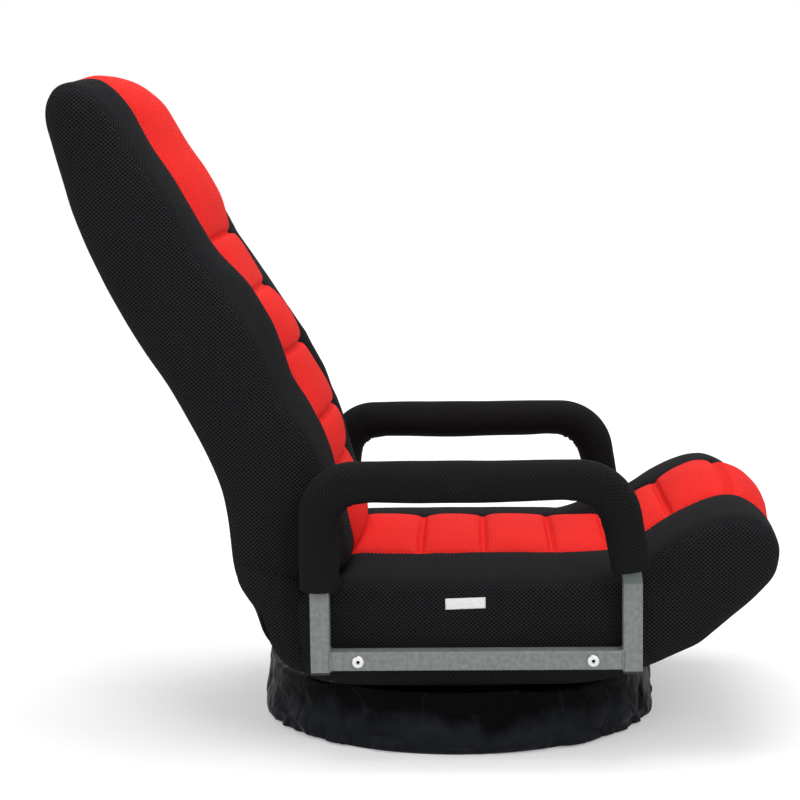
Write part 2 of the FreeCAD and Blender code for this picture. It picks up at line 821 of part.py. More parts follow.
def cross_tube(name, dia, wall, long, x, z):
    """A straight round tube across the chair, centred on its middle plane."""
    outer = round_bar(name + "Outer", f"{dia} / 2", long, "Y")
    at(outer, x, f"0 - ({long}) / 2", z)
    inner = round_bar(name + "Inner", f"{dia} / 2 - {wall}", f"{long} + 2 * RoomRun", "Y")
    at(inner, x, f"0 - ({long}) / 2 - RoomRun", z)
    return cut(name, outer, inner)


# Back frame

def back_tube_corners():
    side = size("BackSpread") / 2
    pivot = Vector(size("PivotX"), side, size("PivotZ"))
    knee = Vector(size("BackKneeX"), side, size("BackKneeZ"))
    neck = Vector(size("BackNeckX"), side, size("BackNeckZ"))
    top = Vector(size("BackTopX"), side, size("BackTopZ"))
    start = pivot + (knee - pivot).normalize() * size("BackTubeStart")
    reach = size("BackTube") / 2 + size("SeatGap")
    return [start, knee, neck, top - (top - neck).normalize() * reach]


def back_bar_spots():
    """Places up the tubes' centre line where the cross bars lie, as shares of its length."""
    path = bent_path(back_tube_corners(), [size("BackBend")] * 2)
    spots = path.discretize(101)
    count = int(size("BackBarCount"))
    return [spots[round(100 * (turn + 0.5) / (count + 0.3))] for turn in range(count)]


def make_back_frame():
    corners = back_tube_corners()
    tube = pipe(corners, [size("BackBend")] * 2, size("BackTube") / 2, size("FrameWall"))
    both_sides(shaped("BackTubeSide", tube), "back_side_tube")
    keep(cross_tube("BackTop", "BackTube", "FrameWall", "BackSpread + BackTube", "BackTopX", "BackTopZ"),
         "back_top_tube")
    bars = []
    long = size("BackSpread") - size("BackTube") - 2 * size("SeatGap")
    for spot in back_bar_spots():
        start = Vector(spot.x, -long / 2, spot.z)
        outer = Part.makeCylinder(size("BackBar") / 2, long, start, Vector(0, 1, 0))
        inner = Part.makeCylinder(size("BackBar") / 2 - size("FrameWall"), long, start, Vector(0, 1, 0))
        bars.append(outer.cut(inner))
    keep(shaped("BackBars", Part.makeCompound(bars)), "back_cross_bars")


# Hinges: toothed sector between two cheeks, a pawl on its pin and a spring round the pin

HINGE_FACE = "(FrameSpread / 2 - FrameTube / 2)"


def hinge_body(name, face):
    body = new_body(name)
    bind(body, Placement__Base__x="PivotX", Placement__Base__y=face, Placement__Base__z="PivotZ")
    return body


def make_cheek(name, face):
    """A plate round the pivot and the pawl pin, with a tab along the inside of the seat tube."""
    body = hinge_body(name, face)
    for x, y, radius in (("0", "0", "CheekRound"), ("PawlPinX", "PawlPinZ", "PinBoss")):
        disc = new_sketch(body, "XZ_Plane")
        draw_circle(disc, x, y, radius)
        pad(body, disc, "CheekThick")
    low = "(RailZ - PivotZ - TabHalf)"
    high = "(RailZ - PivotZ + TabHalf)"
    plate = new_sketch(body, "XZ_Plane")
    draw_corners(plate, [("0 - CheekRound * 0.95", "0 - CheekRound * 0.3"), ("CheekRound * 0.6", low),
                         ("TabLong", low), ("TabLong", high),
                         ("PawlPinX + PinBoss", "PawlPinZ - PinBoss * 0.45"),
                         ("PawlPinX + PinBoss * 0.45", "PawlPinZ + PinBoss * 0.85"),
                         ("CheekRound * 0.3", "CheekRound * 0.95")])
    pad(body, plate, "CheekThick")
    holes = new_sketch(body, "XZ_Plane")
    draw_circle(holes, "0", "0", "PivotDia / 2 + BoreRun")
    draw_circle(holes, "PawlPinX", "PawlPinZ", "PawlPinDia / 2 + BoreRun")
    body_through(body, holes)
    return body


def make_sector(face):
    """A disc with a notch for each locked place of the back, and an arm up the back tube."""
    body = hinge_body("Sector", face)
    disc = new_sketch(body, "XZ_Plane")
    draw_circle(disc, "0", "0", "ToothTip")
    pad(body, disc, "SectorThick")
    up_x = "(BackKneeX - PivotX) / ArmRun"
    up_z = "(BackKneeZ - PivotZ) / ArmRun"
    run = "sqrt((BackKneeX - PivotX) ^ 2 + (BackKneeZ - PivotZ) ^ 2)"
    up_x = up_x.replace("ArmRun", run)
    up_z = up_z.replace("ArmRun", run)
    half = "ArmWide / 2"
    arm = new_sketch(body, "XZ_Plane")
    draw_corners(arm, [(f"{half} * {up_z}", f"0 - {half} * {up_x}"),
                       (f"{half} * {up_z} + ArmLong * {up_x}", f"0 - {half} * {up_x} + ArmLong * {up_z}"),
                       (f"0 - {half} * {up_z} + ArmLong * {up_x}", f"{half} * {up_x} + ArmLong * {up_z}"),
                       (f"0 - {half} * {up_z}", f"{half} * {up_x}")])
    pad(body, arm, "SectorThick")
    first = "(ToothPitch - PawlAngle)"
    corners = []
    for reach, turn in (("ToothTip + NotchOver", "0 - NotchBack"), ("ToothRoot", "0 - NotchBack"),
                        ("ToothRoot", "NotchFloor"), ("ToothTip + NotchOver", "NotchSlope")):
        angle = f"(({first} + {turn}) * 1 deg)"
        corners.append((f"({reach}) * cos({angle})", f"({reach}) * sin({angle})"))
    notch = new_sketch(body, "XZ_Plane")
    draw_corners(notch, corners)
    gap = body_through(body, notch)
    pattern = body.newObject("PartDesign::PolarPattern", "Notches")
    pattern.Originals = [gap]
    pattern.Axis = (origin_plane(body, "Y_Axis"), [""])
    bind(pattern, Angle="ToothPitch * (ToothCount - 1)", Occurrences="ToothCount")
    body.Tip = pattern
    doc.recompute()
    bore = new_sketch(body, "XZ_Plane")
    draw_circle(bore, "0", "0", "PivotDia / 2 + BoreRun")
    body_through(body, bore)
    return body


def polar(reach, angle):
    return (f"({reach}) * cos(({angle}) * 1 deg)", f"({reach}) * sin(({angle}) * 1 deg)")


def make_pawl(face):
    """An arm from its pin to a nose that rides just clear of the tooth tips."""
    body = hinge_body("Pawl", face)
    hub = new_sketch(body, "XZ_Plane")
    draw_circle(hub, "PawlPinX", "PawlPinZ", "PawlRound")
    pad(body, hub, "SectorThick")
    arm = new_sketch(body, "XZ_Plane")
    draw_corners(arm, [("PawlPinX - PawlRound * 0.41", "PawlPinZ + PawlRound * 0.68"),
                       polar("ToothTip + PawlRound * 0.72", "0 - PawlAngle + 31"),
                       polar("ToothTip + PawlRound * 0.44", "0 - PawlAngle + 12.6"),
                       polar("ToothTip + NoseRun", "0 - PawlAngle + 3.5"),
                       polar("ToothTip + NoseRun", "0 - PawlAngle - 2"),
                       polar("ToothTip + PawlRound * 0.93", "0 - PawlAngle - 4"),
                       polar("ToothTip + PawlRound * 1.41", "0 - PawlAngle + 8"),
                       ("PawlPinX + PawlRound * 0.4", "PawlPinZ - PawlRound * 0.69")])
    pad(body, arm, "SectorThick")
    bore = new_sketch(body, "XZ_Plane")
    draw_circle(bore, "PawlPinX", "PawlPinZ", "PawlPinDia / 2 + BoreRun")
    body_through(body, bore)
    return body


def headed_pin(name, x, z, radius, head, tall, inner, outer):
    """A rivet along Y from one face to another, with a head past each."""
    shank = round_bar(name + "Shank", radius, f"{outer} - ({inner})", "Y")
    at(shank, x, inner, z)
    low = round_bar(name + "Low", head, tall, "Y")
    at(low, x, f"{inner} - {tall}", z)
    high = round_bar(name + "High", head, tall, "Y")
    at(high, x, outer, z)
    return fuse(name, [shank, low, high])


def make_spring():
    """A coil round the inner end of the pawl pin, with a straight leg at each end."""
    wire = size("SpringWire") / 2
    turns = size("SpringTurns")
    pitch = size("SpringWire") * 1.25
    reach = size("PawlPinDia") / 2 + wire + size("SpringRun")
    coil = Part.makeHelix(pitch, pitch * turns, reach)
    ring = Part.Wire(Part.makeCircle(wire, Vector(reach, 0, 0), Vector(0, 1, 0)))
    body = Part.Wire(coil.Edges).makePipeShell([ring], True, True)
    legs = []
    for height, way in ((0, -1), (pitch * turns, 1)):
        legs.append(Part.makeCylinder(wire, size("SpringLeg"), Vector(reach, 0, height), Vector(0, way, 0)))
    spring = body.fuse(legs[0]).fuse(legs[1])
    spring.rotate(Vector(), Vector(1, 0, 0), -90)
    inner = number(INNER_CHEEK) - size("CheekThick") - wire - size("SideRun") - pitch * turns
    spring.translate(Vector(size("PivotX") + size("PawlPinX"), inner, size("PivotZ") + size("PawlPinZ")))
    return shaped("PawlSpring", spring)


SECTOR_FACE = f"({HINGE_FACE} - CheekThick - SideRun)"
INNER_CHEEK = f"({HINGE_FACE} - CheekThick - 2 * SideRun - SectorThick)"


def make_hinges():
    outer = make_cheek("OuterCheek", HINGE_FACE)
    inner = make_cheek("InnerCheek", INNER_CHEEK)
    both_sides(group("Cheeks", [outer, inner]), "hinge_cheeks")
    both_sides(make_sector(SECTOR_FACE), "hinge_sector")
    both_sides(make_pawl(SECTOR_FACE), "hinge_pawl")
    low = f"({INNER_CHEEK} - CheekThick)"
    pivot = headed_pin("Pivot", "PivotX", "PivotZ", "PivotDia / 2", "PivotHeadDia / 2", "PivotHeadTall",
                       low, HINGE_FACE)
    both_sides(pivot, "hinge_rivet")
    pin = headed_pin("PawlPin", "PivotX + PawlPinX", "PivotZ + PawlPinZ", "PawlPinDia / 2",
                     "PinHeadDia / 2", "PinHeadTall", f"({low} - PinReach)", HINGE_FACE)
    both_sides(pin, "pawl_pin")
    both_sides(make_spring(), "pawl_spring")


# Cushions

def pull(y, half, band, most):
    """Share of the way to the frame that the cover is drawn in at a distance y from the middle."""
    past = max(0.0, (abs(y) - (half - band)) / band)
    return most * (1 - math.sqrt(max(0.0, 1 - past * past)))


def stations(half, band, steps):
    """Section places from one side to the other, closer together where the edge rolls."""
    right = [half - band + band * math.sin(math.pi / 2 * turn / steps) for turn in range(steps + 1)]
    return [-y for y in reversed(right)] + [0.0] + right


def nearest(point, line):
    """The point of a line of straight runs that lies nearest to a point."""
    best = None
    for start, end in zip(line, line[1:]):
        run = end - start
        share = (point - start).dot(run) / run.dot(run)
        spot = start + run * min(1.0, max(0.0, share))
        if best is None or (point - spot).Length < (point - best).Length:
            best = spot
    return best


def arc_chain(points, y, closed=True):
    """Arcs through each three neighbouring points, or a line where the three lie in line."""
    chain = [Vector(x, y, z) for x, z in points]
    if closed:
        chain.append(chain[0])
    edges = []
    for turn in range(0, len(chain) - 2, 2):
        start, middle, end = chain[turn:turn + 3]
        bow = (middle - start).cross(end - start).Length / (end - start).Length
        if bow < 0.05:
            edges.append(Part.LineSegment(start, end).toShape())
        else:
            edges.append(Part.Arc(start, middle, end).toShape())
    return edges


def cushion_block(outline, core, wide, band, most, steps):
    """A crowned block across the chair, whose ends are drawn in towards the line of its frame."""
    sections = []
    for y in stations(wide / 2, band, steps):
        share = pull(y, wide / 2, band, most)
        moved = []
        for x, z in outline:
            point = Vector(x, 0, z)
            spot = point + (nearest(point, core) - point) * share
            moved.append((spot.x, spot.z))
        sections.append(Part.Wire(arc_chain(moved, y)))
    return Part.makeLoft(sections, True, True)


# Side outlines of the two cushions: corner, bulge, corner and so on, from the rear over the top
SEAT_OUTLINE = [(-264, 245), (-204, 245), (-144, 245), (-40, 246), (60, 245), (130, 244), (200, 245),
                (236, 258), (264, 280), (297, 300), (332, 317), (362, 325), (390, 319), (412, 301),
                (424, 277), (425, 254), (419, 230), (405, 212), (386, 191), (362, 170), (335, 149),
                (294, 122), (248, 102), (204, 93), (160, 90), (0, 90), (-154, 91), (-204, 101),
                (-236, 122), (-256, 150), (-264, 180), (-264, 212)]
BACK_OUTLINE = [(-240, 196), (-258, 200), (-272, 207), (-282, 218), (-286, 240), (-288, 275),
                (-295, 312), (-305, 347), (-318, 380), (-346, 435), (-376, 488), (-400, 524),
                (-421, 558), (-448, 608), (-472, 662), (-490, 712), (-505, 762), (-516, 802),
                (-520, 838), (-515, 862), (-502, 875), (-486, 882), (-467, 880), (-446, 868),
                (-428, 843), (-398, 795), (-370, 755), (-346, 713), (-326, 672), (-290, 620),
                (-252, 562), (-236, 523), (-221, 485), (-188, 435), (-168, 392), (-160, 345),
                (-156, 292), (-152, 244), (-150, 196), (-195, 196)]

# Seams across the red panels from the rear or the top, each with its share of the panel's depth
SEAT_SEAMS = [(-144, 241, 1), (-52, 241, 1), (38, 241, 1), (129, 241, 1), (210, 243, 1), (291, 293, 1),
              (368, 321, 1), (423, 279, 1)]
BACK_SEAMS = [(-506, 872, 0.45), (-449, 871, 0.55), (-326, 672, 1), (-262, 604, 1), (-232, 515, 1),
              (-180, 438, 1), (-163, 362, 1), (-155, 285, 1)]


def from_pivot(reach, angle):
    turn = math.radians(angle)
    return Vector(size("PivotX") + reach * math.cos(turn), 0, size("PivotZ") + reach * math.sin(turn))


def cross_cylinder(radius, x, z, low, high):
    return Part.makeCylinder(radius, high - low, Vector(x, low, z), Vector(0, 1, 0))


def pivot_cylinder(radius, low, high):
    return cross_cylinder(radius, size("PivotX"), size("PivotZ"), low, high)


def slab(edges, low, high):
    """A prism across the chair from a closed outline in an XZ plane."""
    face = Part.Face(Part.Wire(edges))
    face.translate(Vector(0, low, 0))
    return face.extrude(Vector(0, high - low, 0))


def straight(*points):
    return [Part.LineSegment(a, b).toShape() for a, b in zip(points, points[1:])]


def crease_room():
    """Space behind the seat's rear edge, outside the knuckle, where the back's foot swings."""
    wide = size("SeatWide")
    reach = size("CreaseRound")
    pivot = from_pivot(0, 0)
    foot = from_pivot(reach, size("FootAngle") - size("FoldForward") - 1)
    lip = from_pivot(reach, size("FootAngle"))
    middle = from_pivot(reach, size("FootAngle") - size("FoldForward") / 2)
    high = Vector(lip.x, 0, lip.z + 2 * reach)
    far = Vector(pivot.x - 3 * reach, 0, high.z)
    low = from_pivot(3 * reach, 225)
    edges = straight(pivot, foot) + [Part.Arc(foot, middle, lip).toShape()]
    edges += straight(lip, high, far, low, pivot)
    return slab(edges, -wide, wide).cut(pivot_cylinder(size("KnuckleRound"), -wide, wide))


def waist_rooms():
    """Slanted cuts that narrow the seat behind the rear posts, down to the hinge covers."""
    front = size("RearPostX") - size("TubeSide") / 2
    rear = size("PivotX") - size("KnuckleRound") * 1.5
    wide = size("SeatWide") / 2
    inner = number(HINGE_FACE) + size("HingeCover")
    rooms = []
    for side in (-1, 1):
        corners = [Vector(front, side * wide, 0), Vector(size("PivotX"), side * inner, 0),
                   Vector(rear, side * inner, 0), Vector(rear, side * 2 * wide, 0),
                   Vector(front, side * 2 * wide, 0)]
        face = Part.Face(Part.makePolygon(corners + [corners[0]]))
        rooms.append(face.extrude(Vector(0, 0, size("SeatTopZ") * 2)))
    return rooms


def fold_room():
    """Everything below the back's foot, so that it clears the seat when the back folds forward."""
    wide = size("SeatWide")
    reach = size("CreaseRound") - size("FoamRun")
    lean = size("FoldForward")
    clear = size("FoldClear")
    pivot = from_pivot(0, 0)
    foot = from_pivot(reach, size("FootAngle"))
    notch_angle = lean + math.degrees(math.asin(clear / reach))
    notch = from_pivot(reach, notch_angle)
    middle = from_pivot(reach, (size("FootAngle") + notch_angle) / 2)
    far = notch + Vector(math.cos(math.radians(lean)), 0, math.sin(math.radians(lean))) * 3 * reach
    edges = straight(pivot, foot) + [Part.Arc(foot, middle, notch).toShape()]
    edges += straight(notch, far, Vector(far.x, 0, 0), Vector(pivot.x, 0, 0), pivot)
    room = slab(edges, -wide, wide)
    return room.fuse(pivot_cylinder(size("KnuckleRound") + 2 * size("FoamRun"), -wide, wide))


def panel_solid(seams, crown):
    """A channelled pad: one arc from seam to seam, each standing proud of the seams."""
    half = size("PanelWide") / 2
    sections = []
    for reach in (-1, -0.86, -0.5, 0, 0.5, 0.86, 1):
        share = 1 - reach ** 2
        y = half * reach
        raised = shifted(seams, crown * share)
        front = [raised[0]]
        for here, there in zip(raised, raised[1:]):
            front.append(bowed(here, there, 0.35 + 0.65 * share))
            front.append(there)
        rear = [Vector(x, y, z) for x, z in reversed(shifted(seams, -size("PanelThick")))]
        edges = arc_chain(front, y, closed=False)
        edges += straight(Vector(front[-1][0], y, front[-1][1]), *rear,
                          Vector(front[0][0], y, front[0][1]))
        sections.append(Part.Wire(edges))
    return Part.makeLoft(sections, True, True)


def shifted(seams, amount):
    """The seams, each moved out of the cushion by its share of an amount."""
    moved = []
    last = len(seams) - 1
    for turn, (x, z, share) in enumerate(seams):
        before = seams[max(turn - 1, 0)]
        after = seams[min(turn + 1, last)]
        along = Vector(after[0] - before[0], 0, after[1] - before[1]).normalize()
        moved.append((x - along.z * amount * share, z + along.x * amount * share))
    return moved


def bowed(start, end, share):
    """The crest of a channel between two seams, higher where the channel is longer."""
    span = Vector(end[0] - start[0], 0, end[1] - start[1])
    bow = size("ChannelSwell") * math.sqrt(span.Length / size("ChannelPitch")) * share
    along = span.normalize()
    return ((start[0] + end[0]) / 2 - along.z * bow, (start[1] + end[1]) / 2 + along.x * bow)


def panel_room(seams):
    """The trough that a panel lies in, open above it."""
    half = size("PanelWide") / 2 + size("FoamRun")
    floor = shifted(seams, -size("PanelThick"))
    gap = size("FoamRun")
    deeper = shifted([(x, z, 1) for x, z in floor], -gap)
    above = shifted([(x, z, 1) for x, z in floor], size("PanelThick") * 2.5)
    corners = [Vector(x, 0, z) for x, z in deeper] + [Vector(x, 0, z) for x, z in reversed(above)]
    return slab(straight(*corners, corners[0]), -half, half)


def tube_rooms(corners, bends, radius):
    """Channels in the foam for a side tube and its mirror image."""
    left = rod(corners, bends, radius + size("FoamRun"))
    return [left, left.mirror(Vector(), Vector(0, 1, 0))]


def bolt_rooms():
    rooms = []
    face = size("FrameSpread") / 2
    for spot in ("BoltRearX", "BoltFrontX"):
        for side in (-1, 1):
            start = Vector(size(spot), side * (face - 2 * size("NutFlange")), size("RailZ"))
            rooms.append(Part.makeCylinder(size("NutFlangeDia") / 2 + size("FoamRun"), size("BoltLong"),
                                           start, Vector(0, side, 0)))
    return rooms


def box_room(low, high):
    gap = Vector(1, 1, 1) * size("FoamRun")
    low = low - gap
    span = high + gap - low
    return Part.makeBox(span.x, span.y, span.z, low)


def make_seat_cushion():
    half = size("SeatWide") / 2
    core = [from_pivot(0, 0)] + [Vector(c.x, 0, c.z) for c in seat_tube_corners()[1:]]
    block_of_foam = cushion_block(SEAT_OUTLINE, core, size("SeatWide"), size("SeatBand"),
                                  size("SeatPull"), 5)
    side = size("FrameSpread") / 2
    floor = size("RailZ") - size("FrameTube") / 2 - size("CrossTall")
    under = size("SeatFloorZ") - size("PlateRoom")
    rooms = [crease_room(), panel_room(SEAT_SEAMS)]
    rooms += waist_rooms()
    rooms += tube_rooms(seat_tube_corners(), [size("FrameBend")], size("FrameTube") / 2)
    rooms.append(cross_cylinder(size("FrameTube") / 2 + size("FoamRun"), size("NoseTubeX"), size("NoseTubeZ"),
                                -side - size("FrameTube") / 2 - size("RoomRun"),
                                side + size("FrameTube") / 2 + size("RoomRun")))
    rooms += bolt_rooms()
    wide = size("CrossWide") / 2
    bar_top = floor + size("CrossTall")
    for spot in (-size("ScrewSpread") / 2, size("ScrewSpread") / 2, size("RearBarX")):
        rooms.append(box_room(Vector(spot - wide, -side, floor), Vector(spot + wide, side, bar_top)))
    for turn in range(int(size("StrapCount"))):
        start = size("StrapRearX") + turn * size("StrapPitch")
        top = size("RailZ") + size("FrameTube") / 2
        rooms.append(box_room(Vector(start, -side, top),
                              Vector(start + size("StrapWide"), side, top + size("StrapThick"))))
    plate = size("PlateSide") / 2 + size("PlateRoom")
    rooms.append(box_room(Vector(-plate, -plate, under), Vector(plate, plate, floor)))
    lip = size("HubBore") / 2 + size("HubLipWide") + size("RoomRun")
    rooms.append(Part.makeCylinder(lip, size("HubLip") + 2 * size("RoomRun"), Vector(0, 0, floor)))
    inner = number(INNER_CHEEK) - size("CheekThick") - size("PinReach") - 2 * size("PinHeadTall")
    outer = number(HINGE_FACE) + size("PivotHeadTall") + size("RoomRun")
    tab = size("RailZ") - size("TabHalf")
    for low, high in ((inner, outer), (-outer, -inner)):
        rooms.append(pivot_cylinder(size("HingeRoom"), low, high))
        rooms.append(box_room(Vector(size("PivotX"), low, tab),
                              Vector(size("PivotX") + size("TabLong"), high,
                                     size("PivotZ") + size("PawlPinZ"))))
    for room in rooms:
        block_of_foam = block_of_foam.cut(room)
    keep(shaped("SeatFoam", largest(block_of_foam)), "seat_cushion")
    panel = panel_solid(SEAT_SEAMS, size("SeatCrown"))
    panel = panel.cut(pivot_cylinder(size("CreaseRound"), -half, half))
    keep(shaped("SeatPanel", largest(panel)), "seat_centre_panel")


def largest(shape):
    return sorted(shape.Solids, key=lambda item: item.Volume)[-1]


def make_back_cushion():
    core = [from_pivot(0, 0)] + [Vector(c.x, 0, c.z) for c in back_tube_corners()[1:]]
    foam = cushion_block(BACK_OUTLINE, core, size("BackWide"), size("BackBand"), size("BackPull"), 6)
    rooms = [fold_room(), panel_room(BACK_SEAMS)]
    rooms += tube_rooms(back_tube_corners(), [size("BackBend")] * 2, size("BackTube") / 2)
    side = size("BackSpread") / 2 + size("BackTube") / 2
    reach = side + size("RoomRun")
    rooms.append(cross_cylinder(size("BackTube") / 2 + size("FoamRun"), size("BackTopX"), size("BackTopZ"),
                                -reach, reach))
    reach = side - size("BackTube") / 2
    for spot in back_bar_spots():
        rooms.append(cross_cylinder(size("BackBar") / 2 + size("FoamRun"), spot.x, spot.z, -reach, reach))
    for low, high in arm_slots():
        rooms.append(arm_room(low, high))
    for room in rooms:
        foam = foam.cut(room)
    keep(shaped("BackFoam", largest(foam)), "back_cushion")
    panel = panel_solid(BACK_SEAMS, size("BackCrown"))
    panel = panel.cut(fold_room())
    keep(shaped("BackPanel", largest(panel)), "back_centre_panel")


def arm_slots():
    high = number(SECTOR_FACE) + size("FoamRun")
    low = high - size("SectorThick") - 2 * size("FoamRun")
    return ((low, high), (-high, -low))


def arm_room(low, high):
    """Slot in the foam for the sector's arm."""
    pivot = from_pivot(0, 0)
    knee = Vector(size("BackKneeX"), 0, size("BackKneeZ"))
    along = (knee - pivot).normalize()
    across = Vector(along.z, 0, -along.x) * (size("ArmWide") / 2 + size("FoamRun"))
    end = pivot + along * (size("ArmLong") + size("FoamRun"))
    corners = [pivot + across, end + across, end - across, pivot - across]
    return slab(straight(*corners, corners[0]), low, high)


def main():
    make_base()
    make_skirt()
    make_bearing()
    make_armrests()
    make_caps()
    make_bolts()
    make_seat_frame()
    make_hinges()
    make_back_frame()
    make_seat_cushion()
    make_back_cushion()


main()
doc.recompute()
for item in doc.Objects:
    if "Invalid" in item.State or "Error" in item.State:
        raise ValueError(f"{item.Name} did not build")
os.makedirs("parts", exist_ok=True)
for piece in pieces:
    shape = piece.Shape
    if shape.isNull() or not shape.isValid():
        raise ValueError(f"{piece.Label} has no valid shape")
    shape.exportStep(f"parts/{piece.Label}.step")
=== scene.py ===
"""Looks of a swivel floor chair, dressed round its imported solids. Metres, +X to the sitter's front, +Z up."""

import logging
import math
from dataclasses import dataclass, field
from enum import Enum
from typing import Callable, Sequence

import bmesh
import bpy
import numpy as np
from mathutils import Matrix, Vector, noise


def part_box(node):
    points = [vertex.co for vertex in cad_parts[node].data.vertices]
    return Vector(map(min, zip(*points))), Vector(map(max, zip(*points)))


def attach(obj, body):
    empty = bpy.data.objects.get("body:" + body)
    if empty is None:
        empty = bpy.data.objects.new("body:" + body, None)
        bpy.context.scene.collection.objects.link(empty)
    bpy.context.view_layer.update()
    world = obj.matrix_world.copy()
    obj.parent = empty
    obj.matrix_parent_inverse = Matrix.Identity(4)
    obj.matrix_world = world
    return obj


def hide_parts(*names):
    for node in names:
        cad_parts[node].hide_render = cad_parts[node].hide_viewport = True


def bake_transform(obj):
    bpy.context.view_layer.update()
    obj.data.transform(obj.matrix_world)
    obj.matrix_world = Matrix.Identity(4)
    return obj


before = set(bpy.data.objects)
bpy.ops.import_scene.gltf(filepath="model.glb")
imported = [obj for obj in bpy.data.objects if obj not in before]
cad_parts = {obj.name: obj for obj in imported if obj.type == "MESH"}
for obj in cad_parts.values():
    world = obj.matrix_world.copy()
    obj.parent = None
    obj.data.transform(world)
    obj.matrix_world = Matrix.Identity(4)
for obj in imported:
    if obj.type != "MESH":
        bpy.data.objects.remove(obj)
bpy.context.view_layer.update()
LOG = logging.getLogger("floor_chair")
Pair = tuple[float, float]
Spot = tuple[float, float, float]
Colour = tuple[float, float, float]
Face = tuple[int, ...]
Piece = bpy.types.Object
Node = bpy.types.Node
Socket = bpy.types.NodeSocket
Found = dict[str, Socket]


# Node trees

class Tree:
    """Adds nodes to one material or group and joins them."""

    def __init__(self, tree: bpy.types.NodeTree) -> None:
        """Start with an empty tree.

        Args:
            tree: The node tree to fill.
        """
        self.tree = tree
        tree.nodes.clear()

    def add(self, kind: str, **settings: object) -> Node:
        """Add a node and set its properties.

        Args:
            kind: Blender's name of the node.
            settings: Properties to set on it.

        Returns:
            The new node.
        """
        node = self.tree.nodes.new(kind)
        for name, value in settings.items():
            setattr(node, name, value)
        return node

    def feed(self, source: object, target: Socket) -> None:
        """Join a socket to a target, or write a plain value into it.

        Args:
            source: An output socket, a number or a colour.
            target: The input socket.
        """
        if isinstance(source, Socket):
            self.tree.links.new(source, target)
        else:
            target.default_value = source

    def math(self, operation: str, *values: object) -> Socket:
        """Work on numbers.

        Args:
            operation: Blender's name of the operation.
            values: Up to three sockets or numbers.

        Returns:
            The result's socket.
        """
        node = self.add("ShaderNodeMath", operation=operation)
        for value, target in zip(values, node.inputs):
            self.feed(value, target)
        return node.outputs[0]

    def blend(self, share: object, first: object, second: object) -> Socket:
        """Mix two colours.

        Args:
            share: How much of the second shows.
            first: The colour at 0.
            second: The colour at 1.

        Returns:
            The mixed colour's socket.
        """
        node = self.add("ShaderNodeMix", data_type="RGBA")
        for value, target in zip((share, first, second), (node.inputs[0], node.inputs[6], node.inputs[7])):
            self.feed(value, target)
        return node.outputs[2]

    def remap(self, value: object, low: float, high: float, to_low: float = 0.0, to_high: float = 1.0,
              smooth: bool = False) -> Socket:
        """Stretch a range of numbers to another range.

        Args:
            value: The number's socket.
            low: Start of the range it has.
            high: End of the range it has.
            to_low: Start of the new range.
            to_high: End of the new range.
            smooth: Whether the ends ease in and out.

        Returns:
            The result's socket.
        """
        node = self.add("ShaderNodeMapRange", interpolation_type="SMOOTHSTEP" if smooth else "LINEAR")
        for given, target in zip((value, low, high, to_low, to_high), node.inputs):
            self.feed(given, target)
        return node.outputs[0]

    def noise(self, vector: object, scale: object, detail: float = 2.0, rough: float = 0.5,
              twist: float = 0.0, output: str = "Fac") -> Socket:
        """Soft random values over the surface.

        Args:
            vector: Where it is read.
            scale: Cells to a metre.
            detail: Number of finer layers.
            rough: Strength of the finer layers.
            twist: How far the pattern is drawn out of shape.
            output: Fac for numbers, or Color for colours.

        Returns:
            The value's socket.
        """
        node = self.add("ShaderNodeTexNoise")
        given = {"Vector": vector, "Scale": scale, "Detail": detail, "Roughness": rough, "Distortion": twist}
        for name, value in given.items():
            self.feed(value, node.inputs[name])
        return node.outputs[output]

    def split(self, vector: object) -> bpy.types.NodeOutputs:
        """Take a vector apart.

        Args:
            vector: The vector's socket.

        Returns:
            The sockets of its three numbers.
        """
        node = self.add("ShaderNodeSeparateXYZ")
        self.feed(vector, node.inputs[0])
        return node.outputs

    def stretched(self, vector: object, shares: Spot) -> Socket:
        """Multiply each number of a vector.

        Args:
            vector: The vector's socket.
            shares: What each number is multiplied by.

        Returns:
            The result's socket.
        """
        node = self.add("ShaderNodeVectorMath", operation="MULTIPLY")
        self.feed(vector, node.inputs[0])
        self.feed(shares, node.inputs[1])
        return node.outputs[0]


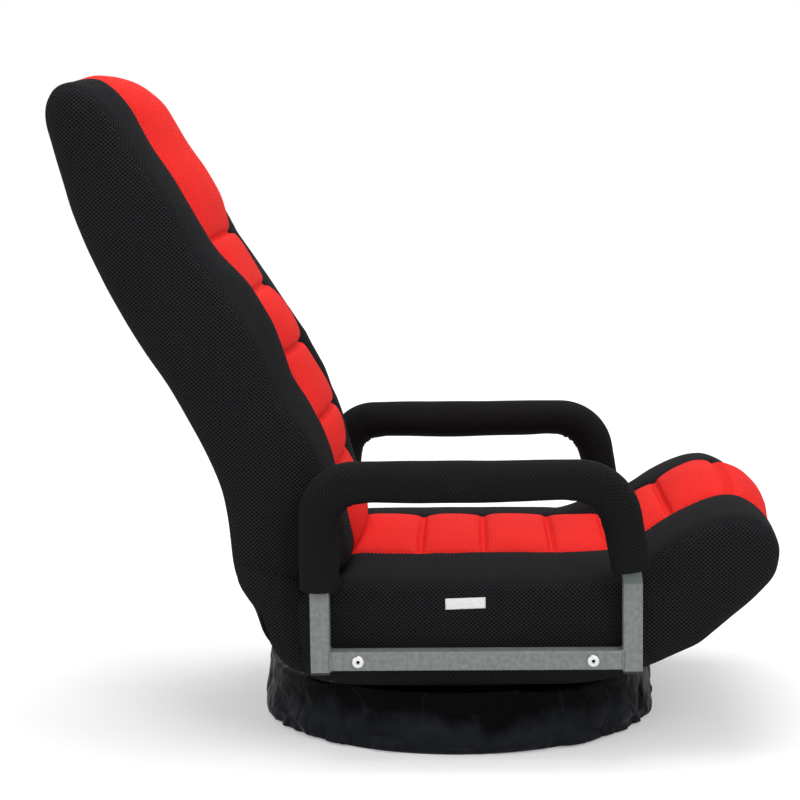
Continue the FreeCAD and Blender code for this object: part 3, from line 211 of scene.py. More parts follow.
class Effects:
    """Shader groups that several materials share, each built once."""

    made: dict[str, bpy.types.NodeTree] = {}

    @classmethod
    def group(cls, name: str, inputs: Sequence[tuple[str, str, float]],
              fill: Callable[[Tree, Node], Found]) -> bpy.types.NodeTree:
        """Return a group, and build it at its first use.

        Args:
            name: The group's name.
            inputs: Name, socket type and default of each input.
            fill: Writes the inner nodes and returns what the group puts out.

        Returns:
            The group.
        """
        if name not in cls.made:
            tree = bpy.data.node_groups.new(name, "ShaderNodeTree")
            inner = Tree(tree)
            for label, kind, value in inputs:
                socket = tree.interface.new_socket(label, in_out="INPUT", socket_type=kind)
                if kind == "NodeSocketFloat":
                    socket.default_value = value
            found = fill(inner, inner.add("NodeGroupInput"))
            for label in found:
                tree.interface.new_socket(label, in_out="OUTPUT", socket_type="NodeSocketFloat")
            result = inner.add("NodeGroupOutput")
            for label, socket in found.items():
                inner.feed(socket, result.inputs[label])
            cls.made[name] = tree
        return cls.made[name]

    @classmethod
    def place(cls, tree: Tree, group: bpy.types.NodeTree, **values: object) -> Node:
        """Put a group into a material.

        Args:
            tree: The material's tree.
            group: The group.
            values: Inputs by name, with _ for a space.

        Returns:
            The group's node.
        """
        node = tree.add("ShaderNodeGroup", node_tree=group)
        for name, value in values.items():
            tree.feed(value, node.inputs[name.replace("_", " ")])
        return node

    @classmethod
    def mesh_holes(cls) -> bpy.types.NodeTree:
        """Rows of small staggered holes between raised yarns, read along the cloth.

        Returns:
            A group with the outputs Hole, Height and Yarn.
        """
        wander = 0.0012
        thread = 0.0009

        def fill(tree: Tree, given: Node) -> Found:
            """Write the inner nodes.

            Args:
                tree: The group's tree.
                given: The node with the group's inputs.

            Returns:
                The outputs by name.
            """
            place = given.outputs["Place"]
            parts = tree.split(place)
            drift = tree.math("MULTIPLY", tree.math("SUBTRACT", tree.noise(place, 45.0), 0.5), wander)
            waves = []
            for axis, pitch in ((0, "Pitch Along"), (1, "Pitch Across")):
                moved = tree.math("ADD", parts[axis], drift)
                turns = tree.math("DIVIDE", moved, given.outputs[pitch])
                waves.append(tree.math("COSINE", tree.math("MULTIPLY", turns, math.pi)))
            hole = tree.remap(tree.math("MULTIPLY", *waves), 0.0, 0.65, smooth=True)
            fine = tree.math("SINE", tree.math("MULTIPLY", parts[1], 2 * math.pi / thread))
            yarn = tree.math("MULTIPLY_ADD", fine, 0.5, 0.5)
            height = tree.math("SUBTRACT", tree.math("MULTIPLY", yarn, 0.18), hole)
            return {"Hole": hole, "Height": height, "Yarn": yarn}

        inputs = [("Place", "NodeSocketVector", 0), ("Pitch Along", "NodeSocketFloat", 0.003),
                  ("Pitch Across", "NodeSocketFloat", 0.003)]
        return cls.group("Mesh holes", inputs, fill)

    @classmethod
    def knit_ribs(cls) -> bpy.types.NodeTree:
        """Slanted rows of small loops, as on a close knit.

        Returns:
            A group with the output Loop.
        """
        def fill(tree: Tree, given: Node) -> Found:
            """Write the inner nodes.

            Args:
                tree: The group's tree.
                given: The node with the group's inputs.

            Returns:
                The outputs by name.
            """
            parts = tree.split(given.outputs["Place"])
            waves = []
            for lean, turns in ((0.75, 1.0), (-0.75, 0.62)):
                slant = tree.math("MULTIPLY_ADD", parts[1], lean, parts[0])
                rows = tree.math("DIVIDE", slant, given.outputs["Pitch"])
                wave = tree.math("SINE", tree.math("MULTIPLY", rows, 2 * math.pi * turns))
                waves.append(tree.math("MULTIPLY_ADD", wave, 0.5, 0.5))
            return {"Loop": tree.math("MULTIPLY", waves[0], tree.math("MULTIPLY_ADD", waves[1], 0.6, 0.4))}

        inputs = [("Place", "NodeSocketVector", 0), ("Pitch", "NodeSocketFloat", 0.003)]
        return cls.group("Knit ribs", inputs, fill)

    @classmethod
    def mottle(cls) -> bpy.types.NodeTree:
        """Slow unevenness of a dyed or painted surface, with a finer layer.

        Returns:
            A group with the outputs Broad and Fine.
        """
        def fill(tree: Tree, given: Node) -> Found:
            """Write the inner nodes.

            Args:
                tree: The group's tree.
                given: The node with the group's inputs.

            Returns:
                The outputs by name.
            """
            found = {}
            for label, times, detail in (("Broad", 1.0, 3.0), ("Fine", 22.0, 2.0)):
                scale = tree.math("MULTIPLY", given.outputs["Scale"], times)
                found[label] = tree.noise(given.outputs["Place"], scale, detail)
            return found

        inputs = [("Place", "NodeSocketVector", 0), ("Scale", "NodeSocketFloat", 10.0)]
        return cls.group("Mottle", inputs, fill)

    @classmethod
    def edge_wear(cls) -> bpy.types.NodeTree:
        """Mask of the sharp outer edges, broken up by noise.

        Returns:
            A group with the output Edge.
        """
        def fill(tree: Tree, given: Node) -> Found:
            """Write the inner nodes.

            Args:
                tree: The group's tree.
                given: The node with the group's inputs.

            Returns:
                The outputs by name.
            """
            sharp = tree.add("ShaderNodeNewGeometry").outputs["Pointiness"]
            rough = tree.noise(tree.add("ShaderNodeTexCoord").outputs["Object"], 160.0, 3.0)
            amount = tree.math("MULTIPLY", rough, given.outputs["Amount"])
            return {"Edge": tree.math("MULTIPLY", tree.remap(sharp, 0.51, 0.56, smooth=True), amount)}

        return cls.group("Edge wear", [("Amount", "NodeSocketFloat", 1.0)], fill)


# Finishes

class PlaceKind(Enum):
    """What a finish reads its pattern along."""

    CLOTH = "UV"
    SOLID = "Object"


@dataclass(frozen=True)
class Finish:
    """What every finish has: a name, a colour and how it meets light."""

    name: str
    colour: Colour
    roughness: float = 0.6
    metallic: float = 0.0
    specular: float = 0.5
    place: PlaceKind = PlaceKind.SOLID

    def build(self) -> bpy.types.Material:
        """Make the material, or return the one made before.

        Returns:
            The material.
        """
        known = bpy.data.materials.get(self.name)
        if known is not None:
            return known
        material = bpy.data.materials.new(self.name)
        material.use_nodes = True
        tree = Tree(material.node_tree)
        out = tree.add("ShaderNodeOutputMaterial")
        shader = tree.add("ShaderNodeBsdfPrincipled")
        tree.feed(shader.outputs[0], out.inputs["Surface"])
        values = {"Base Color": self.tint(1.0), "Roughness": self.roughness, "Metallic": self.metallic,
                  "Specular IOR Level": self.specular}
        for socket, value in values.items():
            shader.inputs[socket].default_value = value
        self.detail(tree, shader, tree.add("ShaderNodeTexCoord").outputs[self.place.value])
        material.diffuse_color = self.tint(1.0)
        return material

    def tint(self, share: float) -> tuple[float, float, float, float]:
        """The finish's colour, lighter or darker by a share."""
        return (*[min(1.0, part * share) for part in self.colour], 1.0)

    def shade(self, tree: Tree, shader: Node, tone: Socket, low: float, high: float) -> None:
        """Make the colour darker and lighter from place to place.

        Args:
            tree: The material's tree.
            shader: The shader that takes the colour.
            tone: What the colour follows, from 0 to 1.
            low: Share of the colour at 0.
            high: Share of the colour at 1.
        """
        tree.feed(tree.blend(tone, self.tint(low), self.tint(high)), shader.inputs["Base Color"])

    def gloss(self, tree: Tree, shader: Node, tone: Socket, across: Pair, change: Pair) -> None:
        """Make the surface duller and shinier from place to place.

        Args:
            tree: The material's tree.
            shader: The shader that takes the roughness.
            tone: What the roughness follows.
            across: Range of the tone that it follows.
            change: What the roughness gains at the two ends of that range.
        """
        low, high = (self.roughness + part for part in change)
        tree.feed(tree.remap(tone, *across, low, high), shader.inputs["Roughness"])

    def bump(self, tree: Tree, shader: Node, height: object, depth: float, strength: float) -> None:
        """Raise the surface by a height.

        Args:
            tree: The material's tree.
            shader: The shader that takes the normal.
            height: The height's socket, from 0 to 1.
            depth: Metres that a height of 1 stands proud.
            strength: Share of the effect that shows.
        """
        node = tree.add("ShaderNodeBump")
        node.inputs["Distance"].default_value = depth
        node.inputs["Strength"].default_value = strength
        tree.feed(height, node.inputs["Height"])
        tree.feed(node.outputs[0], shader.inputs["Normal"])

    def detail(self, tree: Tree, shader: Node, place: Socket) -> None:
        """Add what is special to a finish.

        Args:
            tree: The material's tree.
            shader: The main shader.
            place: Where patterns are read.
        """


@dataclass(frozen=True)
class AirMesh(Finish):
    """Spacer mesh: raised yarns round rows of small holes."""

    pitch: float = 0.0030
    hole_shade: float = 0.02
    yarn_height: float = 0.0011
    place: PlaceKind = PlaceKind.CLOTH

    def detail(self, tree: Tree, shader: Node, place: Socket) -> None:
        """Darken the holes, vary the yarn's colour and raise the yarns.

        Args:
            tree: The material's tree.
            shader: The main shader.
            place: Where patterns are read.
        """
        holes = Effects.place(tree, Effects.mesh_holes(), Place=place, Pitch_Along=self.pitch,
                              Pitch_Across=self.pitch * 0.9)
        tone = Effects.place(tree, Effects.mottle(), Place=place, Scale=9.0)
        dark, light = (tree.blend(tone.outputs["Broad"], self.tint(low), self.tint(high))
                       for low, high in ((0.78, 1.0), (0.98, 1.26)))
        yarn = tree.blend(tree.remap(tone.outputs["Fine"], 0.3, 0.7), dark, light)
        yarn = tree.blend(tree.math("MULTIPLY", holes.outputs["Yarn"], 0.3), yarn, self.tint(0.75))
        colour = tree.blend(holes.outputs["Hole"], yarn, self.tint(self.hole_shade))
        tree.feed(colour, shader.inputs["Base Color"])
        self.gloss(tree, shader, tone.outputs["Fine"], (0.2, 0.8), (-0.08, 0.08))
        self.bump(tree, shader, holes.outputs["Height"], self.yarn_height, 0.8)


@dataclass(frozen=True)
class CloseKnit(Finish):
    """Close stretch knit with slanted rows."""

    pitch: float = 0.0034
    loop_height: float = 0.0006
    place: PlaceKind = PlaceKind.CLOTH

    def detail(self, tree: Tree, shader: Node, place: Socket) -> None:
        """Shade between the loops and raise them.

        Args:
            tree: The material's tree.
            shader: The main shader.
            place: Where patterns are read.
        """
        loop = Effects.place(tree, Effects.knit_ribs(), Place=place, Pitch=self.pitch).outputs["Loop"]
        tone = Effects.place(tree, Effects.mottle(), Place=place, Scale=14.0)
        base = tree.blend(tone.outputs["Broad"], self.tint(0.8), self.tint(1.25))
        tree.feed(tree.blend(loop, self.tint(0.15), base), shader.inputs["Base Color"])
        self.bump(tree, shader, loop, self.loop_height, 0.8)


@dataclass(frozen=True)
class Taffeta(Finish):
    """Thin shiny woven lining with creases, painted shade at its top and painted light towards the hem."""

    # heights where the painted shade near the top turns to painted light lower down, and how far noise moves
    # them
    painted_shade_heights: Pair = (0.006, -0.024)
    painted_shade_wander: float = 0.10
    line_cells: float = 19.0
    line_wander: float = 0.035
    # how much lighter the painted highlight on the crease lines is
    painted_crease_highlight: float = 4.0
    crease_cells: float = 26.0
    crease_height: float = 0.005
    weave_cells: float = 1400.0
    place: PlaceKind = PlaceKind.CLOTH

    def crease_lines_and_highlights(self, tree: Tree, place: Socket, broad: Socket) -> Socket:
        """Thin bent lines where the cloth has been folded, here and there; they are raised and carry a painted
        highlight.

        Args:
            tree: The material's tree.
            place: Where the lines are read.
            broad: Slow noise that says where they show.

        Returns:
            The lines' mask.
        """
        bent = tree.add("ShaderNodeVectorMath", operation="MULTIPLY_ADD")
        wander = (self.line_wander, self.line_wander, 0.0)
        for value, target in zip((tree.noise(place, 24.0, output="Color"), wander, place), bent.inputs):
            tree.feed(value, target)
        net = tree.add("ShaderNodeTexVoronoi", feature="DISTANCE_TO_EDGE")
        tree.feed(bent.outputs[0], net.inputs["Vector"])
        net.inputs["Scale"].default_value = self.line_cells
        shown = tree.remap(broad, 0.50, 0.62, smooth=True)
        return tree.math("MULTIPLY", tree.remap(net.outputs["Distance"], 0.040, 0.0, smooth=True), shown)

    def detail(self, tree: Tree, shader: Node, place: Socket) -> None:
        """Weave, small creases, painted shade and light by height, painted crease highlights and an uneven
        shine.

        Args:
            tree: The material's tree.
            shader: The main shader.
            place: Where patterns are read.
        """
        broad = Effects.place(tree, Effects.mottle(), Place=place, Scale=11.0).outputs["Broad"]
        # painted shade near the top, where the seat shades the cloth, and painted light towards the hem, by
        # height
        height = tree.split(tree.add("ShaderNodeTexCoord").outputs["Object"])[2]
        level = tree.math("MULTIPLY_ADD", broad, -self.painted_shade_wander, height)
        painted_light_share = tree.remap(level, *self.painted_shade_heights, smooth=True)
        line = self.crease_lines_and_highlights(tree, place, broad)
        cloth = tree.blend(painted_light_share, self.tint(0.15), self.tint(1.9))
        # painted highlight: the crease lines are lightened as if they catch the light
        colour = tree.blend(tree.math("MULTIPLY", line, 0.22), cloth, self.tint(self.painted_crease_highlight))
        tree.feed(colour, shader.inputs["Base Color"])
        self.gloss(tree, shader, broad, (0.3, 0.7), (-0.07, 0.1))
        crease = tree.noise(tree.stretched(place, (1.0, 0.8, 1.0)), self.crease_cells, 3.0, twist=1.2)
        weave = tree.add("ShaderNodeTexChecker")
        tree.feed(place, weave.inputs["Vector"])
        weave.inputs["Scale"].default_value = self.weave_cells
        raised = tree.math("MULTIPLY_ADD", weave.outputs["Fac"], 0.02, crease)
        raised = tree.math("MULTIPLY_ADD", line, 0.15, raised)
        self.bump(tree, shader, raised, self.crease_height, 0.7)


@dataclass(frozen=True)
class PowderCoat(Finish):
    """Baked powder paint on steel: slight orange peel, thin at the edges."""

    worn: Colour = (0.45, 0.45, 0.44)
    peel_cells: float = 900.0
    peel_height: float = 0.00008

    def detail(self, tree: Tree, shader: Node, place: Socket) -> None:
        """Orange peel, uneven gloss and lighter edges.

        Args:
            tree: The material's tree.
            shader: The main shader.
            place: Where patterns are read.
        """
        tone = Effects.place(tree, Effects.mottle(), Place=place, Scale=18.0)
        edge = Effects.place(tree, Effects.edge_wear(), Amount=0.55)
        base = tree.blend(tone.outputs["Broad"], self.tint(0.985), self.tint(1.015))
        tree.feed(tree.blend(edge.outputs["Edge"], base, (*self.worn, 1.0)), shader.inputs["Base Color"])
        self.gloss(tree, shader, tone.outputs["Fine"], (0.3, 0.7), (-0.01, 0.015))
        self.bump(tree, shader, tree.noise(place, self.peel_cells, 1.0), self.peel_height, 0.5)


@dataclass(frozen=True)
class BareSteel(Finish):
    """Zinc-plated or bare steel with fine scratches."""

    scratch_cells: float = 700.0
    scratch_depth: float = 0.00008

    def detail(self, tree: Tree, shader: Node, place: Socket) -> None:
        """Fine scratches, cloudy gloss and an uneven colour.

        Args:
            tree: The material's tree.
            shader: The main shader.
            place: Where patterns are read.
        """
        tone = Effects.place(tree, Effects.mottle(), Place=place, Scale=60.0)
        lines = tree.noise(tree.stretched(place, (1.0, 1.0, 0.08)), self.scratch_cells, 3.0, 0.7)
        self.shade(tree, shader, tone.outputs["Broad"], 0.8, 1.12)
        self.gloss(tree, shader, lines, (0.3, 0.7), (-0.08, 0.14))
        self.bump(tree, shader, lines, self.scratch_depth, 0.5)


@dataclass(frozen=True)
class BoltSteel(BareSteel):
    """Zinc-plated bolt heads, with painted shade inside their sockets."""

    axes: Sequence[Pair] = ()
    # radius and soft rim of the painted shade in each socket
    socket: float = 0.0024
    rim: float = 0.0004
    dull: float = 0.85

    def detail(self, tree: Tree, shader: Node, place: Socket) -> None:
        """Paint shade inside each bolt's socket: darker and duller near the bolt's own axis.

        Args:
            tree: The material's tree.
            shader: The main shader.
            place: Where patterns are read.
        """
        super().detail(tree, shader, place)
        flat = tree.stretched(place, (1.0, 0.0, 1.0))
        nearest = 1.0
        for x, z in self.axes:
            away = tree.add("ShaderNodeVectorMath", operation="DISTANCE")
            tree.feed(flat, away.inputs[0])
            tree.feed((x, 0.0, z), away.inputs[1])
            nearest = tree.math("MINIMUM", away.outputs["Value"], nearest)
        # painted shade: a near-black, duller disc round each axis stands in for the shade inside the socket
        inside = tree.remap(nearest, self.socket, self.socket - self.rim, smooth=True)
        colour, rough = (shader.inputs[name].links[0].from_socket for name in ("Base Color", "Roughness"))
        tree.feed(tree.blend(inside, colour, self.tint(0.02)), shader.inputs["Base Color"])
        duller = tree.math("SUBTRACT", self.dull, rough)
        tree.feed(tree.math("MULTIPLY_ADD", inside, duller, rough), shader.inputs["Roughness"])


@dataclass(frozen=True)
class Moulded(Finish):
    """Moulded plastic or rubber with a fine spark texture."""

    grain_cells: float = 1100.0
    grain_height: float = 0.0001

    def detail(self, tree: Tree, shader: Node, place: Socket) -> None:
        """Spark texture, uneven colour and gloss.

        Args:
            tree: The material's tree.
            shader: The main shader.
            place: Where patterns are read.
        """
        tone = Effects.place(tree, Effects.mottle(), Place=place, Scale=30.0)
        self.shade(tree, shader, tone.outputs["Broad"], 0.85, 1.2)
        self.gloss(tree, shader, tone.outputs["Fine"], (0.3, 0.7), (-0.06, 0.08))
        self.bump(tree, shader, tree.noise(place, self.grain_cells, 2.0), self.grain_height, 0.7)


@dataclass(frozen=True)
class Webbing(Finish):
    """Woven strap or ribbon with lengthwise ribs."""

    rib: float = 0.002
    rib_height: float = 0.0004
    shaded: float = 0.5

    def detail(self, tree: Tree, shader: Node, place: Socket) -> None:
        """Ribs along the strap and a plain weave across them.

        Args:
            tree: The material's tree.
            shader: The main shader.
            place: Where patterns are read.
        """
        parts = tree.split(place)
        rib, cross = (tree.math("SINE", tree.math("MULTIPLY", part, 2 * math.pi / pitch))
                      for part, pitch in ((parts[0], self.rib), (parts[1], self.rib * 0.6)))
        height = tree.math("MULTIPLY_ADD", tree.math("MULTIPLY", rib, cross), 0.5, 0.5)
        self.shade(tree, shader, height, self.shaded, 1.15)
        self.bump(tree, shader, height, self.rib_height, 0.8)


def bolt_axes(head: float = 0.0082) -> tuple[Pair, ...]:
    """Where the armrest bolts' axes lie in x and z, from the frame.

    Args:
        head: Radius of a bolt's head, in metres.

    Returns:
        The rear and the front bolt's x and z.
    """
    low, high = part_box("armrest_bolts")
    level = (low[2] + high[2]) / 2
    return (low[0] + head, level), (high[0] - head, level)


RED_MESH = AirMesh("red_air_mesh", (1.0, 0.026, 0.021), roughness=0.75, specular=0.08, hole_shade=0.50,
                   pitch=0.0026)
BLACK_MESH = AirMesh("black_air_mesh", (0.0195, 0.0199, 0.0220), roughness=0.8, specular=0.03)
BLACK_KNIT = CloseKnit("black_sleeve_knit", (0.0200, 0.0202, 0.0218), roughness=0.8, specular=0.05)
SKIRT_CLOTH = Taffeta("black_taffeta", (0.0068, 0.0074, 0.0096), roughness=0.32, specular=0.03)
GREY_COAT = PowderCoat("grey_powder_coat", (0.102, 0.122, 0.118), roughness=0.42, specular=0.30)
INNER_COAT = PowderCoat("black_powder_coat", (0.02, 0.02, 0.02), roughness=0.45, worn=(0.1, 0.1, 0.1))
ZINC = BareSteel("zinc_plate", (0.78, 0.78, 0.76), roughness=0.28, metallic=1.0)
BOLT_STEEL = BoltSteel("bolt_zinc_plate", (0.70, 0.70, 0.69), roughness=0.34, metallic=1.0, axes=bolt_axes())
HINGE_STEEL = BareSteel("hinge_steel", (0.56, 0.56, 0.55), roughness=0.38, metallic=1.0)
BALL_STEEL = BareSteel("ball_steel", (0.68, 0.68, 0.68), roughness=0.16, metallic=1.0, scratch_cells=1500.0)
BLACK_PLASTIC = Moulded("black_plastic", (0.018, 0.018, 0.019), roughness=0.5)
GLIDE_RUBBER = Moulded("glide_rubber", (0.016, 0.016, 0.016), roughness=0.8, grain_cells=500.0)
STRAP = Webbing("elastic_webbing", (0.035, 0.035, 0.037), roughness=0.8)
TAG_CLOTH = Webbing("white_tag_cloth", (0.92, 0.92, 0.91), roughness=0.7, rib=0.0007, shaded=0.95)
WHITE_THREAD = Moulded("white_thread", (0.7, 0.7, 0.68), roughness=0.7)


# Lines and meshes

class Loop:
    """A smooth closed line in the chair's side plane, known by the length along it."""

    STEPS = 24
    CLOSEST = 1e-6

    def __init__(self, corners: Sequence[Pair]) -> None:
        """Pass a smooth line through the corners.

        Args:
            corners: Points (x, z) in millimetres, in order round the piece.
        """
        given = np.array(corners, float) / 1000
        count = len(given)
        share = np.linspace(0, 1, self.STEPS, endpoint=False)[:, None]
        runs = []
        for place in range(count):
            before, first, second, after = (given[(place + shift) % count] for shift in (-1, 0, 1, 2))
            lead, span, trail = (max(np.linalg.norm(end - start), self.CLOSEST) ** 0.5
                                 for start, end in ((before, first), (first, second), (second, after)))
            leave = (first - before) / lead - (second - before) / (lead + span) + (second - first) / span
            arrive = (second - first) / span - (after - first) / (span + trail) + (after - second) / trail
            runs.append((2 * share**3 - 3 * share**2 + 1) * first
                        + (share**3 - 2 * share**2 + share) * leave * span
                        + (3 * share**2 - 2 * share**3) * second + (share**3 - share**2) * arrive * span)
        self.points = np.vstack(runs + [runs[0][:1]])
        self.lengths = lengths_along(self.points)
        self.length = float(self.lengths[-1])

    def at(self, along: np.ndarray) -> np.ndarray:
        """Points at lengths along the line."""
        return read_line(np.mod(along, self.length), self.lengths, self.points)

    def nearest(self, spot: Pair) -> float:
        """Length along the line of its point nearest to a spot in millimetres."""
        gaps = np.linalg.norm(self.points[:-1] - np.array(spot) / 1000, axis=1)
        return float(self.lengths[int(gaps.argmin())])


def lengths_along(points: np.ndarray) -> np.ndarray:
    """Length from the first point to each point of a line."""
    return np.r_[0, np.cumsum(np.linalg.norm(np.diff(points, axis=0), axis=1))]


def read_line(spots: np.ndarray, lengths: np.ndarray, points: np.ndarray) -> np.ndarray:
    """Points of a flat line at some lengths along it.

    Args:
        spots: The lengths wanted.
        lengths: Length at each of the line's points.
        points: The line's points, two numbers each.

    Returns:
        Two numbers for each length wanted.
    """
    return np.stack([np.interp(spots, lengths, points[:, axis]) for axis in (0, 1)], axis=-1)


def spread_marks(low: float, high: float, step: float, marks: Sequence[float],
                 near: Sequence[float]) -> np.ndarray:
    """Sample places from low to high, with a close cluster at each mark.

    Args:
        low: First place.
        high: Last place.
        step: Usual distance between places.
        marks: Places that need a cluster.
        near: Distances from a mark at which its cluster has places.

    Returns:
        The places in order.
    """
    least = step * 0.45
    fixed = sorted({round(mark + shift, 6) for mark in marks for shift in near if low < mark + shift < high})
    plain = np.linspace(low, high, max(2, round((high - low) / step) + 1))
    kept = [place for place in plain if not fixed or place in (low, high)
            or np.abs(np.array(fixed) - place).min() > least]
    return np.array(sorted(set(kept) | set(fixed)))


def smoothstep(value: np.ndarray) -> np.ndarray:
    """Ease from 0 to 1."""
    value = np.clip(value, 0, 1)
    return value * value * (3 - 2 * value)


def hump(value: np.ndarray, wide: float) -> np.ndarray:
    """A smooth hump of height 1 at 0, which fades over a width."""
    return np.exp(-(value / wide) ** 2)


def ripple(points: np.ndarray, scale: float, seed: float) -> np.ndarray:
    """Soft random numbers from about -1 to 1 at each point.

    Args:
        points: Places, three numbers each.
        scale: Cells to a metre.
        seed: Shift that makes one field differ from another.

    Returns:
        One number for each point.
    """
    shift = Vector((seed, seed * 1.7, seed * 0.6))
    return np.array([noise.noise(Vector(p) * scale + shift) for p in points])


def ring_faces(rows: int, count: int, base: int = 0) -> list[Face]:
    """Faces between closed rings of points, ring after ring.

    Args:
        rows: Number of rings.
        count: Points in each ring.
        base: Number of the first point.

    Returns:
        Vertex numbers of each face: two of one ring, then the two of the next ring, backwards.
    """
    faces = []
    for row in range(rows - 1):
        near = base + row * count
        for spot in range(count):
            after = (spot + 1) % count
            faces.append((near + spot, near + after, near + count + after, near + count + spot))
    return faces


class Build:
    """Makes and finishes meshes."""

    @staticmethod
    def mesh(name: str, points: np.ndarray, faces: Sequence[Sequence[int]],
             corners: np.ndarray | None = None) -> Piece:
        """Make an object from points and faces.

        Args:
            name: The piece's name.
            points: Places of the vertices.
            faces: Vertex numbers of each face.
            corners: Cloth coordinates of each face corner, in metres.

        Returns:
            The new object.
        """
        mesh = bpy.data.meshes.new(name)
        mesh.from_pydata([tuple(map(float, p)) for p in points], [], [list(map(int, f)) for f in faces])
        if corners is not None:
            layer = mesh.uv_layers.new(name="cloth")
            layer.data.foreach_set("uv", np.asarray(corners, np.float32).ravel())
        mesh.polygons.foreach_set("use_smooth", [True] * len(mesh.polygons))
        mesh.update()
        made = bpy.data.objects.new(name, mesh)
        bpy.context.scene.collection.objects.link(made)
        return made

    @staticmethod
    def coords(piece: Piece) -> np.ndarray:
        """Places of a piece's vertices."""
        flat = np.zeros(len(piece.data.vertices) * 3)
        piece.data.vertices.foreach_get("co", flat)
        return flat.reshape(-1, 3)

    @staticmethod
    def move(piece: Piece, places: np.ndarray) -> None:
        """Write new places of a piece's vertices."""
        piece.data.vertices.foreach_set("co", np.asarray(places, np.float32).ravel())
        piece.data.update()

    @staticmethod
    def normals(piece: Piece) -> np.ndarray:
        """Unit vectors out of the surface at a piece's vertices."""
        flat = np.zeros(len(piece.data.vertices) * 3)
        piece.data.vertices.foreach_get("normal", flat)
        return flat.reshape(-1, 3)

    @staticmethod
    def face_out(piece: Piece) -> None:
        """Turn every face of a closed piece to face outward."""
        body = bmesh.new()
        body.from_mesh(piece.data)
        bmesh.ops.recalc_face_normals(body, faces=body.faces)
        body.to_mesh(piece.data)
        body.free()

    @staticmethod
    def split_wide(piece: Piece) -> None:
        """Cut faces of more than four corners into triangles."""
        body = bmesh.new()
        body.from_mesh(piece.data)
        bmesh.ops.triangulate(body, faces=[face for face in body.faces if len(face.verts) > 4])
        body.to_mesh(piece.data)
        body.free()

    @staticmethod
    def bake(piece: Piece) -> None:
        """Turn a piece's modifiers into plain mesh."""
        graph = bpy.context.evaluated_depsgraph_get()
        graph.update()
        done = bpy.data.meshes.new_from_object(piece.evaluated_get(graph), depsgraph=graph,
                                               preserve_all_data_layers=True)
        piece.modifiers.clear()
        old = piece.data
        piece.data = done
        done.name = piece.name
        bpy.data.meshes.remove(old)

    @staticmethod
    def refine(piece: Piece) -> None:
        """Subdivide a piece smoothly once and keep the result."""
        modifier = piece.modifiers.new("Refine", "SUBSURF")
        modifier.levels = modifier.render_levels = 1
        modifier.boundary_smooth = "PRESERVE_CORNERS"
        Build.bake(piece)

    @staticmethod
    def take(piece: Piece, name: str, wanted: int) -> Piece:
        """Copy the faces of one material number into a piece of their own.

        Args:
            piece: The whole piece.
            name: The new piece's name.
            wanted: The material number.

        Returns:
            The new piece.
        """
        mesh = piece.data
        layer = mesh.uv_layers[0].data
        used: dict[int, int] = {}
        faces, corners = [], []
        for face in mesh.polygons:
            if face.material_index != wanted:
                continue
            faces.append([used.setdefault(v, len(used)) for v in face.vertices])
            corners += [tuple(layer[k].uv) for k in face.loop_indices]
        points = Build.coords(piece)[list(used)]
        return Build.mesh(name, points, faces, np.array(corners))

    @staticmethod
    def rim(piece: Piece, thick: float) -> None:
        """Give an open piece a thin inner layer, so that it has an inside and closed rims.

        Args:
            piece: The piece.
            thick: Thickness in metres, inward.
        """
        modifier = piece.modifiers.new("Cloth thickness", "SOLIDIFY")
        modifier.thickness = thick
        modifier.offset = -1
        modifier.use_even_offset = False
        Build.bake(piece)


class Puff:
    """Cloth simulation that swells a stuffed cover between its sewn lines."""

    FRAMES = 20
    SETTINGS = {"quality": 4, "mass": 0.3, "tension_stiffness": 22.0, "compression_stiffness": 22.0,
                "shear_stiffness": 12.0, "bending_stiffness": 0.6, "vertex_group_mass": "held",
                "use_pressure": True}

    @staticmethod
    def run(piece: Piece, held: np.ndarray, pressure: float, cap: float) -> None:
        """Swell a closed cover and keep the result.

        Args:
            piece: The closed cover.
            held: How firmly each vertex is held, from 0 to 1.
            pressure: Pressure inside.
            cap: Most that a point may move, in metres.
        """
        scene = bpy.context.scene
        start = Build.coords(piece)
        group = piece.vertex_groups.new(name="held")
        for level in np.unique(np.round(held, 2)):
            if level > 0:
                group.add(np.nonzero(np.round(held, 2) == level)[0].tolist(), float(level), "REPLACE")
        cloth = piece.modifiers.new("Puff", "CLOTH")
        for setting, value in Puff.SETTINGS.items():
            setattr(cloth.settings, setting, value)
        cloth.settings.uniform_pressure_force = pressure
        cloth.settings.effector_weights.gravity = 0.0
        cloth.collision_settings.use_collision = False
        cloth.point_cache.frame_start, cloth.point_cache.frame_end = 1, Puff.FRAMES
        for step in range(1, Puff.FRAMES + 1):
            scene.frame_set(step)
        graph = bpy.context.evaluated_depsgraph_get()
        swollen = piece.evaluated_get(graph).to_mesh()
        flat = np.zeros(len(swollen.vertices) * 3)
        swollen.vertices.foreach_get("co", flat)
        piece.evaluated_get(graph).to_mesh_clear()
        piece.modifiers.clear()
        scene.frame_set(1)
        shift = flat.reshape(-1, 3) - start
        far = np.linalg.norm(shift, axis=1, keepdims=True)
        LOG.info("%s swells by up to %.1f mm", piece.name, far.max() * 1000)
        Build.move(piece, start + shift * np.minimum(1, cap / np.maximum(far, 1e-9)))


# Cushions

@dataclass(frozen=True)
class Crest:
    """How a cushion's face stands out of its outline at one place along it, in metres.

    Attributes:
        spot: The place, in millimetres.
        crown: Height of the panel's middle.
        ridge: Height of the two bolsters.
        edge: Height of the outer edge, below 0 where it falls away.
        lean: How far the left bolster stands above the ridge, and the right one below it.
    """

    spot: Pair
    crown: float
    ridge: float = 0.0
    edge: float = 0.0
    lean: float = 0.0


